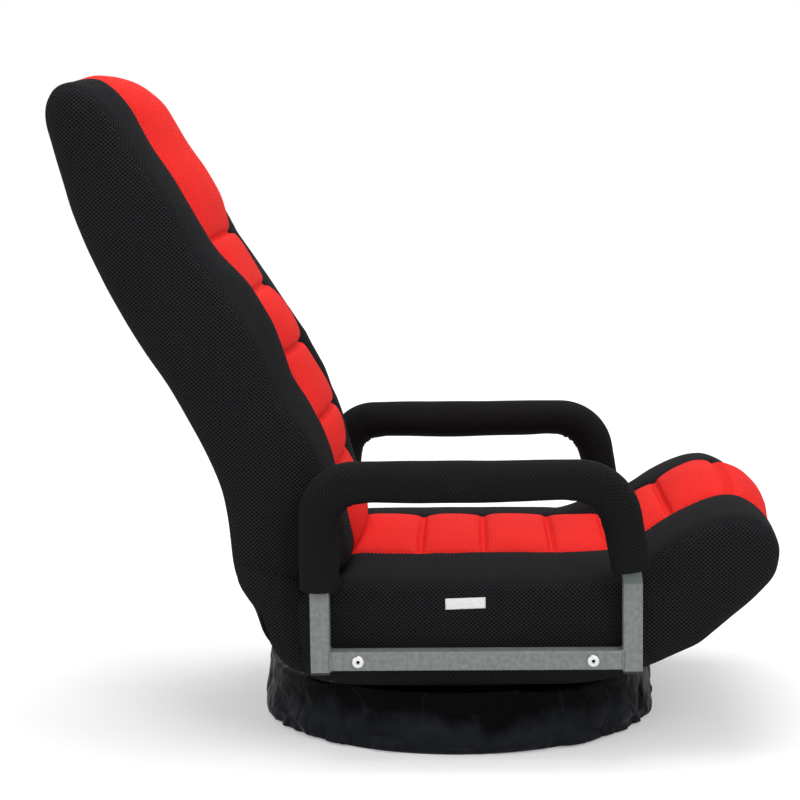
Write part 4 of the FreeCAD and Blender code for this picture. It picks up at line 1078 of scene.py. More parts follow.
@dataclass(frozen=True)
class Ring:
    """One line of a cover's grid, round the cover at one distance from the middle.

    Attributes:
        across: Distance from the middle, in metres.
        inset: Furthest that it lies inside the outline, in metres.
        sunk: Share of what is left to the core that it lies further in.
        unrolled: Cloth coordinate across, in metres.
        side: Whether it belongs to a side panel.
    """

    across: float
    inset: float = 0.0
    sunk: float = 0.0
    unrolled: float = 0.0
    side: bool = False


@dataclass
class Waist:
    """Where a cover is drawn in behind the rear posts: from one x to another, down to a half width."""

    begins: float
    ends: float
    half: float


@dataclass(kw_only=True)
class Cover:
    """Closed cloth cover round a side outline, with rounded edges and drawn-in side panels."""

    SEAM_STEPS = (-0.006, -0.0025, 0.0, 0.0025, 0.006)
    PANEL_STEPS = (-0.007, -0.003, 0.0, 0.003, 0.007)
    FINE = 1200
    AROUND = 60

    name: str
    outline: Sequence[Pair]
    core: Sequence[Pair]
    half: float
    roll: float = 0.028
    bulge: float = 0.004
    panel_half: float = 0.125
    step: float = 0.011
    smear: float = 0.022
    welt: float = 0.0022
    fill: float = 0.7
    widest: float = 1.0
    waist: Waist | None = None
    loop: Loop = field(init=False)
    piece: Piece = field(init=False)

    def __post_init__(self) -> None:
        """Lay out the outline, the sample places and the rings."""
        self.loop = Loop(self.outline)
        places = spread_marks(0.0, self.loop.length, self.step, self.clusters(), self.SEAM_STEPS)
        self.along = places[:-1]
        self.rings = self.make_rings()

    def clusters(self) -> list[float]:
        """Lengths along the outline that need closer samples."""
        return []

    def make_rings(self) -> list[Ring]:
        """List the grid's rings.

        Returns:
            The rings from the right side's middle to the left side's.
        """
        flat = self.half - self.roll
        arc = self.roll * math.pi / 2
        levels = spread_marks(0.0, flat, self.step, [self.panel_half], self.PANEL_STEPS)
        left = [Ring(level, unrolled=level) for level in levels]
        for angle in (25, 45, 66, 90):
            turn = math.radians(angle)
            left.append(Ring(flat + self.roll * math.sin(turn), self.roll * (1 - math.cos(turn)),
                             unrolled=flat + arc * angle / 90, side=angle > 45))
        for sunk in (0.2, 0.45, 0.7, 0.92):
            left.append(Ring(self.half + self.bulge * (1 - (1 - sunk) ** 2), self.roll, sunk, side=True))
        right = [Ring(-ring.across, ring.inset, ring.sunk, -ring.unrolled, ring.side) for ring in left[1:]]
        return right[::-1] + left

    def core_points(self, spots: np.ndarray) -> np.ndarray:
        """Find the points inside that the outline is drawn towards, evened out along it.

        Args:
            spots: Lengths along the outline.

        Returns:
            Points of the core line, two numbers each.
        """
        fine = np.linspace(0, self.loop.length, self.FINE, endpoint=False)
        line = self.loop.at(fine)
        given = np.array(self.core) / 1000
        runs = lengths_along(given)
        steps = np.linspace(0, runs[-1], self.FINE // 2)
        core = read_line(steps, runs, given)
        nearest = steps[np.linalg.norm(line[:, None] - core[None], axis=2).argmin(axis=1)]
        apart = np.arange(-self.AROUND, self.AROUND + 1) * self.loop.length / self.FINE
        weight = np.exp(-(apart / self.smear) ** 2 / 2)
        ends = np.r_[nearest[-self.AROUND:], nearest, nearest[:self.AROUND]]
        even = np.convolve(ends, weight / weight.sum(), "valid")
        return read_line(np.interp(spots, fine, even), runs, given)

    def outward(self, along: np.ndarray, near: float = 0.004) -> np.ndarray:
        """Find which way is out of the outline in its own plane.

        Args:
            along: Lengths along the outline.
            near: How far to each side the outline's direction is read.

        Returns:
            Unit vectors, two numbers each.
        """
        run = self.loop.at(along + near) - self.loop.at(along - near)
        run /= np.linalg.norm(run, axis=1, keepdims=True)
        return np.stack([-run[:, 1], run[:, 0]], axis=1)

    def rise(self, along: np.ndarray, across: np.ndarray) -> np.ndarray:
        """How far the cover stands out of the outline at each place."""
        return along * 0

    def grooves(self, along: np.ndarray, across: np.ndarray) -> np.ndarray:
        """Find how deep the sewn lines are drawn in at each place.

        Args:
            along: Lengths along the outline.
            across: Distances from the middle.

        Returns:
            Metres, inward.
        """
        edge = self.half - self.roll * (1 - math.sin(math.radians(45)))
        return self.welt * hump(np.abs(across) - edge, 0.003)

    def puckers(self, along: np.ndarray, across: np.ndarray, spots: np.ndarray) -> np.ndarray:
        """Slow unevenness of the stuffing under the cloth, in metres."""
        return 0.0022 * ripple(spots, 7.0, 1.3) + 0.0009 * ripple(spots, 26.0, 5.9)

    def narrow(self, points: np.ndarray) -> np.ndarray:
        """Draw the sides in behind the rear posts.

        Args:
            points: The cover's points.

        Returns:
            The points, moved.
        """
        if self.waist is None:
            return points
        share = smoothstep((self.waist.begins - points[:, 0]) / (self.waist.begins - self.waist.ends))
        half = self.half + (self.waist.half - self.half) * share
        over = np.maximum(np.abs(points[:, 1]) - self.panel_half, 0)
        kept = np.minimum(np.abs(points[:, 1]), self.panel_half)
        stretch = (half - self.panel_half) / (self.half - self.panel_half)
        points[:, 1] = np.sign(points[:, 1]) * (kept + over * stretch)
        return points

    def in_panel(self, low: Ring, high: Ring, centre: float) -> bool:
        """Whether a face between two rings belongs to the red panel."""
        return False

    def grid_points(self) -> np.ndarray:
        """Work out the grid's points, ring after ring.

        Returns:
            The points, three numbers each.
        """
        along = self.along
        spots, normals = self.loop.at(along), self.outward(along)
        drawn = self.core_points(along) - spots
        depth = np.linalg.norm(drawn, axis=1, keepdims=True)
        drawn = drawn / np.maximum(depth, 1e-6)
        rows = []
        for ring in self.rings:
            inset = np.minimum(ring.inset, 0.6 * depth * (ring.inset / self.roll) if ring.inset else 0)
            inset = inset + ring.sunk * (depth - inset)
            plane = spots + drawn * inset
            level = np.full(len(along), ring.across)
            row = np.stack([plane[:, 0], level, plane[:, 1]], axis=1)
            edge = max(0.0, 1 - ring.inset / self.roll)
            lift = self.rise(along, level) * edge + (self.puckers(along, level, row) if edge == 1 else 0)
            row[:, [0, 2]] += normals * lift[:, None]
            rows.append(row)
        return self.narrow(np.vstack(rows))

    def lay_grid(self) -> None:
        """Make the closed cover as a grid of rings, with cloth coordinates and the red part marked."""
        along, rings = self.along, self.rings
        count, height = len(along), len(rings)
        self.grid_along = np.tile(along, height)
        self.grid_across = np.repeat([ring.across for ring in rings], count)
        points = self.grid_points()
        faces = ring_faces(height, count)
        corners, red = [], []
        for number, face in enumerate(faces):
            row, spot = divmod(number, count)
            low, high = rings[row], rings[row + 1]
            near, far = along[spot], self.loop.length if spot == count - 1 else along[spot + 1]
            if low.side or high.side:
                corners += [tuple(points[p][[0, 2]]) for p in face]
            else:
                corners += [(near, low.unrolled), (far, low.unrolled)]
                corners += [(far, high.unrolled), (near, high.unrolled)]
            red.append(int(self.in_panel(low, high, (near + far) / 2)))
        last = (height - 1) * count
        for cap in ([*range(count)][::-1], [last + i for i in range(count)]):
            faces.append(tuple(cap))
            corners += [tuple(points[p][[0, 2]]) for p in cap]
            red.append(0)
        self.piece = Build.mesh(self.name + "_cover", points, faces, np.array(corners))
        self.piece.data.polygons.foreach_set("material_index", red)
        Build.split_wide(self.piece)
        LOG.info("%s: %d points round, %d rings, outline %.2f m", self.name, count, height, self.loop.length)

    def sew(self) -> None:
        """Draw the sewn lines in, keep the sides inside their limit and smooth the cover once."""
        points = Build.coords(self.piece)
        points -= Build.normals(self.piece) * self.grooves(self.grid_along, self.grid_across)[:, None]
        points[:, 1] = np.clip(points[:, 1], -self.widest, self.widest)
        Build.move(self.piece, points)
        Build.refine(self.piece)

    def finish(self, piece: Piece, cloth: Finish, slot: str) -> None:
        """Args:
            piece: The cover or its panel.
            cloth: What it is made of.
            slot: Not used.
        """
        piece.data.materials.clear()
        piece.data.materials.append(cloth.build())
        piece.data.polygons.foreach_set("material_index", [0] * len(piece.data.polygons))
        LOG.info("%s: %d faces", piece.name, len(piece.data.polygons))


@dataclass(kw_only=True)
class Cushion(Cover):
    """Stuffed cover with a channelled red panel let into its middle."""

    seams: Sequence[Pair]
    crests: Sequence[Crest]
    red_from: Pair
    red_to: Pair
    cover_node: str
    panel_node: str
    swell: float
    usual_channel: float = 0.09
    fullest: float = 1.15
    border_deep: float = 0.0045
    seam_deep: float = 0.0085
    seam_wide: float = 0.0032
    pucker_deep: float = 0.0016

    def __post_init__(self) -> None:
        """Find the seams, the crests and the red panel's ends along the outline, then lay it out."""
        line = Loop(self.outline)
        self.marks = sorted(line.nearest(spot) for spot in self.seams)
        self.start, self.end = sorted((line.nearest(self.red_from), line.nearest(self.red_to)))
        placed = sorted((line.nearest(crest.spot), crest.crown, crest.ridge, crest.edge, crest.lean)
                        for crest in self.crests)
        self.heights = np.array(placed).T
        super().__post_init__()

    def clusters(self) -> list[float]:
        """Lengths along the outline that need closer samples."""
        return [*self.marks, self.start, self.end]

    def rise(self, along: np.ndarray, across: np.ndarray) -> np.ndarray:
        """Find how far the cover stands out of the outline at each place.

        Args:
            along: Lengths along the outline.
            across: Distances from the middle.

        Returns:
            Metres, outward.
        """
        crown, ridge, edge, lean = (np.interp(along, self.heights[0], values, period=self.loop.length)
                                    for values in self.heights[1:])
        ridge = ridge + lean * np.sign(across)
        marks = np.array(self.marks)
        spot = np.clip(np.searchsorted(marks, along) - 1, 0, len(marks) - 2)
        span = marks[spot + 1] - marks[spot]
        share = np.clip((along - marks[spot]) / span, 0, 1)
        inside = (along > marks[0]) & (along < marks[-1])
        reach = np.clip(np.abs(across) / self.panel_half, 0, 1)
        arch = 1 - np.abs(2 * share - 1) ** 3.2
        full = np.minimum(np.sqrt(span / self.usual_channel), self.fullest)
        bow = self.swell * full * arch * (0.55 + 0.45 * (1 - reach ** 2)) * (1 - reach ** 8)
        panel = np.where(inside & (reach < 1), bow, 0) + crown * (1 - reach ** 2.4)
        outer = np.clip((np.abs(across) - self.panel_half) / (self.half - self.roll - self.panel_half), 0, 1)
        return panel + ridge * np.sin(math.pi * outer ** 0.62) + edge * outer ** 1.5

    def grooves(self, along: np.ndarray, across: np.ndarray) -> np.ndarray:
        """Find how deep the sewn lines are drawn in at each place.

        Args:
            along: Lengths along the outline.
            across: Distances from the middle.

        Returns:
            Metres, inward.
        """
        inside = (along > self.start - 0.002) & (along < self.end + 0.002)
        border = self.border_deep * hump(np.abs(across) - self.panel_half, self.seam_wide)
        total = super().grooves(along, across) + np.where(inside, border, 0)
        flat = smoothstep((self.panel_half - np.abs(across)) / 0.012)
        for mark in self.marks:
            total += self.seam_deep * flat * hump(along - mark, self.seam_wide)
        return total

    def puckers(self, along: np.ndarray, across: np.ndarray, spots: np.ndarray) -> np.ndarray:
        """Work out the small folds that run into the seams, and the slow unevenness everywhere.

        Args:
            along: Lengths along the outline.
            across: Distances from the middle.
            spots: Places, three numbers each.

        Returns:
            Metres, outward.
        """
        border = np.exp(-np.abs(np.abs(across) - self.panel_half) / 0.018)
        line = np.stack([along, across * 0, along * 0], axis=1)
        folds = border * ripple(line, 55.0, 3.1 + self.half)
        near = np.min([np.abs(along - mark) for mark in self.marks], axis=0)
        beside = np.stack([across, np.round(along, 1), along * 0], axis=1)
        folds += (np.abs(across) < self.panel_half) * np.exp(-near / 0.016) * ripple(beside, 42.0, 7.7)
        return self.pucker_deep * folds + super().puckers(along, across, spots)

    def in_panel(self, low: Ring, high: Ring, centre: float) -> bool:
        """Whether a face between two rings belongs to the red panel."""
        inside = max(abs(low.across), abs(high.across)) <= self.panel_half + 1e-6
        return inside and self.start < centre < self.end

    def held(self) -> np.ndarray:
        """Choose what holds still while the cover swells: seams, edges, underside and creases.

        Returns:
            1 at each point that is held, else 0.
        """
        seam, margin = 0.0015, 0.01
        along, across = self.grid_along, self.grid_across
        firm = np.zeros(len(along))
        inside = (along > self.start) & (along < self.end)
        firm[inside & (np.abs(np.abs(across) - self.panel_half) < seam)] = 1
        for mark in self.marks:
            firm[(np.abs(along - mark) < seam) & (np.abs(across) < self.panel_half)] = 1
        firm[~((along > self.start - margin) & (along < self.end + margin))] = 1
        firm[np.abs(across) > self.half - self.roll * 0.5] = 1
        return firm

    def dress(self) -> list[Piece]:
        """Part the red panel from the cover, and give both their cloth.

        Returns:
            The cover and the panel.
        """
        cover = self.piece
        panel = Build.take(cover, self.name + "_red_panel", 1)
        self.sink_under(cover)
        Build.rim(panel, 0.0018)
        self.finish(cover, BLACK_MESH, "black_mesh")
        self.finish(panel, RED_MESH, "red_mesh")
        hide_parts(self.cover_node)
        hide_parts(self.panel_node)
        return [cover, panel]

    @staticmethod
    def sink_under(cover: Piece, depth: float = 0.004) -> None:
        """Push the cover's cloth down where the red panel lies over it.

        Args:
            cover: The whole cover, with the panel's faces marked.
            depth: How far down, in metres.
        """
        red, black = set(), set()
        for face in cover.data.polygons:
            (red if face.material_index == 1 else black).update(face.vertices)
        inner = list(red - black)
        points = Build.coords(cover)
        points[inner] -= Build.normals(cover)[inner] * depth
        Build.move(cover, points)


@dataclass
class Upholstery:
    """Seat and back cushions and the cloth round the hinge."""

    reach_before: float = 0.025
    reach_after: float = 0.045
    crease: Spot = (-0.676, 0.0, 0.737)
    pressure: float = 4.0
    most_swell: float = 0.022

    def seat(self) -> Cushion:
        """Draw the seat: level floor, raised nose, and a round rear end behind the crease.

        Returns:
            The seat's cushion.
        """
        outline = [(0, 90), (-80, 90), (-154, 91), (-190, 97), (-214, 107), (-233, 121), (-246, 140),
                   (-257, 159), (-262, 180), (-257, 202), (-241, 219), (-217, 227), (-195, 222),
                   (-180, 216), (-163, 230), (-146, 242), (-120, 245), (-40, 245), (60, 244), (130, 243),
                   (196, 244), (232, 254), (261, 275), (294, 296), (329, 313), (360, 321), (386, 315),
                   (407, 298), (419, 276), (420, 254), (414, 233), (400, 216), (381, 197), (357, 177),
                   (332, 156), (316, 143), (296, 134), (246, 112), (202, 97), (160, 91), (80, 90)]
        core = [(-212, 178), (-180, 172), (-100, 168), (60, 167), (170, 168), (230, 180), (290, 208),
                (345, 240), (366, 256)]
        seams = [(-152, 239), (-52, 245), (38, 245), (129, 243), (208, 246), (289, 293), (370, 320),
                 (419, 268)]
        crests = [Crest(*row) for row in (
            ((0, 90), 0.003, 0.0, 0.0035), ((-190, 97), 0.003, 0.0, 0.001), ((202, 97), 0.003, 0.0, 0.001),
            ((-262, 180), 0.002), ((-170, 224), 0.002, 0.001, -0.004), ((-120, 245), 0.003, 0.002, -0.010),
            ((150, 243), 0.003, 0.003, -0.009), ((187, 244), 0.003, 0.011, -0.005, 0.006),
            ((208, 246), 0.003, 0.010, -0.004, 0.006), ((294, 296), 0.007, 0.005, -0.002),
            ((370, 320), 0.012, 0.004, -0.003), ((419, 268), 0.008, 0.003), ((414, 233), 0.004, 0.002),
            ((381, 197), 0.0))]
        return Cushion(name="seat_cushion", outline=outline, core=core, seams=seams, crests=crests,
                       red_from=(-170, 224), red_to=(420, 264), cover_node="seat_cushion",
                       panel_node="seat_centre_panel", half=0.2705, swell=0.0095, bulge=0.0022,
                       panel_half=0.136, widest=0.2735, waist=Waist(-0.172, -0.214, 0.250))

    def back(self) -> Cushion:
        """Draw the back: thick head, rolled over its top, and a foot round the seat's rear end.

        Returns:
            The back's cushion.
        """
        outline = [(-238, 136), (-248, 142), (-259, 159), (-266, 180), (-275, 198), (-288, 216),
                   (-296, 240), (-300, 275), (-304, 312), (-311, 347), (-323, 380), (-350, 435),
                   (-379, 488), (-403, 524), (-424, 558), (-451, 608), (-476, 662), (-495, 712),
                   (-508, 762), (-519, 802), (-527, 838), (-523, 862), (-510, 877), (-492, 883),
                   (-471, 877), (-452, 862), (-436, 838), (-406, 790), (-378, 750), (-354, 708),
                   (-333, 667), (-297, 615), (-260, 557), (-244, 518), (-229, 480), (-196, 430),
                   (-177, 390), (-166, 350), (-152, 305), (-144, 275), (-141, 256), (-147, 243),
                   (-168, 229), (-186, 214), (-198, 216), (-215, 219), (-240, 210), (-253, 187),
                   (-252, 166), (-243, 150)]
        core = [(-246, 146), (-256, 166), (-260, 190), (-250, 215), (-228, 245), (-226, 290), (-234, 345),
                (-270, 435), (-302, 485), (-341, 562), (-376, 620), (-404, 672), (-422, 713), (-440, 755),
                (-460, 800), (-474, 838)]
        seams = [(-512, 875), (-333, 667), (-270, 600), (-240, 510), (-190, 420), (-169, 357), (-160, 236)]
        crests = [Crest(*row) for row in (
            ((-266, 180), 0.001), ((-301, 312), 0.004), ((-451, 608), 0.008), ((-519, 802), 0.006),
            ((-512, 875), 0.009, 0.001), ((-492, 883), 0.0085, 0.002),
            ((-471, 877), 0.011, 0.009, 0.0, -0.002), ((-436, 838), 0.028, 0.013, 0.0, -0.002),
            ((-392, 770), 0.023, 0.011), ((-356, 712), 0.026, 0.010),
            ((-333, 667), 0.019, 0.0095, 0.0, -0.0015), ((-318, 645), 0.017, 0.009, 0.0, -0.003),
            ((-292, 605), 0.011, 0.011, 0.0, -0.008), ((-262, 560), 0.017, 0.0125, 0.0, -0.006),
            ((-240, 510), 0.023, 0.018, 0.0, 0.001), ((-228, 478), 0.023, 0.019, 0.0, 0.003),
            ((-214, 455), 0.021, 0.0175, 0.0, 0.002), ((-196, 430), 0.018, 0.011, 0.0, -0.001),
            ((-169, 357), 0.006, 0.0065, 0.0, -0.002), ((-148, 290), 0.010, 0.003),
            ((-144, 250), 0.004, 0.001), ((-215, 219), 0.0))]
        return Cushion(name="back_cushion", outline=outline, core=core, seams=seams, crests=crests,
                       red_from=(-512, 875), red_to=(-172, 226), cover_node="back_cushion",
                       panel_node="back_centre_panel", half=0.240, swell=0.006, bulge=0.006, panel_half=0.132)

    def hinge_cover(self) -> Cover:
        """Draw the cloth that carries on from the seat's rear end to the back, over the hinges.

        Returns:
            The cover.
        """
        outline = [(-198, 104), (-217, 107), (-233, 119), (-246, 139), (-256, 161), (-264, 186),
                   (-276, 204), (-287, 222), (-291, 240), (-280, 252), (-258, 252), (-236, 246),
                   (-214, 236), (-198, 222), (-190, 204), (-186, 180), (-186, 150), (-190, 124)]
        core = [(-208, 140), (-222, 180), (-250, 224)]
        return Cover(name="hinge_cloth", outline=outline, core=core, half=0.2515, roll=0.016, bulge=0.002,
                     fill=0.5)

    def build(self) -> None:
        """Make the covers and bake their placement into their meshes."""
        for cushion in (self.seat(), self.back()):
            cushion.lay_grid()
            Puff.run(cushion.piece, cushion.held(), self.pressure, self.most_swell)
            cushion.sew()
            for piece in cushion.dress():
                self.bend(piece)
        bridge = self.hinge_cover()
        bridge.lay_grid()
        bridge.sew()
        bridge.finish(bridge.piece, BLACK_MESH, "black_mesh")
        self.bend(bridge.piece)

    def bend(self, piece: Piece) -> None:
        """Bake a piece's placement into its mesh."""
        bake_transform(piece)


# Armrests

@dataclass
class Sleeve:
    """Foam sleeve in knitted cloth, pulled over the upper run of an armrest loop."""

    side: int
    spread: float = 0.2875
    radius: float = 0.0255
    foot: Pair = (-0.177, 0.2305)
    rear_top: Pair = (-0.177, 0.369)
    knee: Pair = (0.226, 0.238)
    top: float = 0.369
    lean: float = 9.0
    front_end: float = 0.2545
    bends: Pair = (0.046, 0.056)
    usual_bend: float = 0.05
    end_roll: float = 0.008
    end_share: float = 0.60
    sag: float = 0.004
    crowd: float = 0.006
    fold_deep: float = 0.0030
    soft: float = 0.0009
    seam_deep: float = 0.0012
    seam_at: float = 4.2
    around: int = 48
    step: float = 0.003

    def __post_init__(self) -> None:
        """Lay out the middle line, how sharply it turns, and the angles round it."""
        self.word = "left" if self.side > 0 else "right"
        self.even, self.ways = self.line()
        self.runs = lengths_along(self.even)
        turn = np.abs(np.gradient(np.unwrap(np.arctan2(self.ways[:, 1], self.ways[:, 0])))) / self.step
        self.turns = np.convolve(turn, np.ones(13) / 13, "same") * self.usual_bend
        self.angles = np.linspace(0, 2 * math.pi, self.around, endpoint=False)

    def line(self) -> tuple[np.ndarray, np.ndarray]:
        """Follow the tube from the sleeve's rear end to its front end.

        Returns:
            Evenly spaced points along the sleeve's middle, and their directions.
        """
        slope = math.tan(math.radians(self.lean))
        front_top = np.array((self.knee[0] - slope * (self.top - self.knee[1]), self.top))
        front_foot = np.array((self.knee[0] - slope * (self.front_end - self.knee[1]), self.front_end))
        corners = [np.array(self.foot), np.array(self.rear_top), front_top, front_foot]
        points = [corners[0]]
        for before, corner, after, bend in zip(corners, corners[1:], corners[2:], self.bends):
            inward, outward = before - corner, after - corner
            inward, outward = inward / np.linalg.norm(inward), outward / np.linalg.norm(outward)
            half = math.acos(float(inward @ outward)) / 2
            first, last = corner + inward * bend / math.tan(half), corner + outward * bend / math.tan(half)
            middle = (inward + outward) / np.linalg.norm(inward + outward)
            hub = corner + middle * bend / math.sin(half)
            sweep = math.pi - 2 * half
            for share in np.linspace(0, 1, 15):
                arm = math.sin((1 - share) * sweep) * (first - hub) + math.sin(share * sweep) * (last - hub)
                points.append(hub + arm / math.sin(sweep))
        points.append(corners[-1])
        rough = np.array(points)
        runs = lengths_along(rough)
        even = read_line(np.linspace(0, runs[-1], round(runs[-1] / self.step)), runs, rough)
        ways = np.gradient(even, axis=0)
        return even, ways / np.linalg.norm(ways, axis=1, keepdims=True)

    def unevenness(self, spot: int) -> np.ndarray:
        """Work out how far the cloth stands out round one ring: folds in the bends, sag, seam and lumps.

        Args:
            spot: Number of the point on the middle line.

        Returns:
            Metres outward at each angle.
        """
        run, inner = self.runs[spot], np.cos(self.angles)
        x, z = self.even[spot]
        level = np.clip((x - self.foot[0]) / (self.knee[0] - self.foot[0]), 0, 1)
        sag = self.sag * math.sin(math.pi * min(1.0, 1.2 * level)) * (z > self.top - 0.001)
        wave = noise.noise(Vector((run * 95, self.side * 3.0, 0.0)))
        fold = self.turns[spot] * np.clip(-inner, 0, 1) ** 1.5 * (self.crowd + self.fold_deep * wave)
        lumps = [noise.noise(Vector((run * 16, math.cos(angle) * 0.9, math.sin(angle) * 0.9 + self.side)))
                 for angle in self.angles]
        seam = -self.seam_deep * hump(self.angles - self.seam_at, 0.045)
        return fold + np.array(lumps) * self.soft + seam + sag * np.clip(0.3 - inner, 0, 1)

    def ring(self, spot: int, share: float) -> tuple[np.ndarray, float]:
        """Make one ring of the sleeve.

        Args:
            spot: Number of the point on the middle line.
            share: How far the rolled end has opened, 1 for the full width.

        Returns:
            The ring's points and their cloth coordinate along the sleeve.
        """
        dome = math.sqrt(max(0.0, 1 - (1 - share) ** 2))
        out = self.end_roll * (1 - dome)
        way = self.ways[spot]
        centre = self.even[spot].copy()
        if share < 1:
            centre += way * (self.end_roll - out) * (-1 if spot == 0 else 1) * (1 - share)
        reach = self.radius * (self.end_share + (1 - self.end_share) * dome)
        if share > 0:
            reach = reach + self.unevenness(spot)
        raised = reach * np.cos(self.angles)
        points = np.stack([centre[0] - way[1] * raised, self.side * self.spread + reach * np.sin(self.angles),
                           centre[1] + way[0] * raised], axis=1)
        return points, self.runs[spot] + (out if spot else -out)

    def build(self) -> Piece:
        """Make the sleeve with its rolled ends, its seam and the folds inside its bends.

        Returns:
            The sleeve.
        """
        last = len(self.even) - 1
        opening = (0.0, 0.3, 0.6, 0.85)
        plan = [(0, share) for share in opening] + [(spot, 1.0) for spot in range(last + 1)]
        plan += [(last, share) for share in opening[::-1]]
        rings, heights = zip(*(self.ring(spot, share) for spot, share in plan))
        piece = self.skin(np.vstack(rings), heights)
        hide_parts(f"armrest_sleeve_{self.word}")
        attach(piece, "seat")
        LOG.info("%s: %.0f mm along", piece.name, self.runs[-1] * 1000)
        return piece

    def skin(self, points: np.ndarray, heights: Sequence[float]) -> Piece:
        """Join the rings into a tube with end faces.

        Args:
            points: The rings' points, ring after ring.
            heights: Cloth coordinate of each ring along the sleeve.

        Returns:
            The sleeve.
        """
        rows, count = len(heights), self.around
        girth = 2 * math.pi * self.radius / count
        faces = ring_faces(rows, count)
        corners = []
        for number in range(len(faces)):
            row, spot = divmod(number, count)
            near, far, low, high = heights[row], heights[row + 1], spot * girth, (spot + 1) * girth
            corners += [(near, low), (near, high), (far, high), (far, low)]
        for start, way in ((0, -1), ((rows - 1) * count, 1)):
            faces.append(tuple(range(start, start + count))[::way])
            corners += [(0.0, 0.0)] * count
        piece = Build.mesh(f"armrest_sleeve_knit_{self.word}", points, faces, np.array(corners))
        Build.face_out(piece)
        piece.data.materials.append(BLACK_KNIT.build())
        return piece


@dataclass
class WeldBeads:
    """Thin weld round each end of the lower rails, where they meet the posts."""

    spread: float = 0.2875
    level: float = 0.1345
    half: float = 0.0125
    corner: float = 0.0025
    ends: Pair = (-0.1645, 0.2135)
    radius: float = 0.0019
    beat: float = 0.0026
    along: int = 90
    around: int = 10

    def build(self) -> None:
        """Make the four beads."""
        for side, word in ((1, "left"), (-1, "right")):
            for end, spot, way in (("rear", self.ends[0], 1), ("front", self.ends[1], -1)):
                piece = self.bead(f"weld_bead_{word}_{end}", spot, way, side)
                piece.data.materials.append(GREY_COAT.build())
                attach(piece, "seat")
        LOG.info("weld beads: 4")

    def path(self) -> tuple[np.ndarray, np.ndarray]:
        """Go round a square with rounded corners.

        Returns:
            Even lengths along the path and its points there.
        """
        path = []
        flat = self.half - self.corner
        for corner, (y, z) in enumerate(((1, 1), (-1, 1), (-1, -1), (1, -1))):
            for share in np.linspace(0, 1, 5):
                angle = math.pi / 2 * (corner + share)
                path.append((y * flat + self.corner * math.cos(angle),
                             z * flat + self.corner * math.sin(angle)))
        line = np.array(path + path[:1])
        runs = lengths_along(line)
        spots = np.linspace(0, runs[-1], self.along, endpoint=False)
        return spots, read_line(spots, runs, line)

    def bead(self, name: str, end: float, way: int, side: int) -> Piece:
        """Make one bead.

        Args:
            name: The piece's name.
            end: Where the rail ends, in x.
            way: Which way the rail runs from there.
            side: 1 for the left armrest and -1 for the right.

        Returns:
            The bead.
        """
        spots, even = self.path()
        outs = even / np.linalg.norm(even, axis=1, keepdims=True)
        points = []
        for spot, place, out in zip(spots, even, outs):
            rough = noise.noise(Vector((spot * 300, end, side)))
            reach = self.radius * (1 + 0.16 * math.sin(spot / self.beat) + 0.2 * rough)
            for angle in np.linspace(0, 2 * math.pi, self.around, endpoint=False):
                radial = reach * math.cos(angle)
                points.append((end + way * (reach * 0.6 * math.sin(angle)),
                               side * self.spread + place[0] + out[0] * radial,
                               self.level + place[1] + out[1] * radial))
        faces = [tuple(point % len(points) for point in face[:1] + face[:0:-1])
                 for face in ring_faces(self.along + 1, self.around)]
        piece = Build.mesh(name, np.array(points), faces)
        Build.face_out(piece)
        return piece


# Base cloth and tag

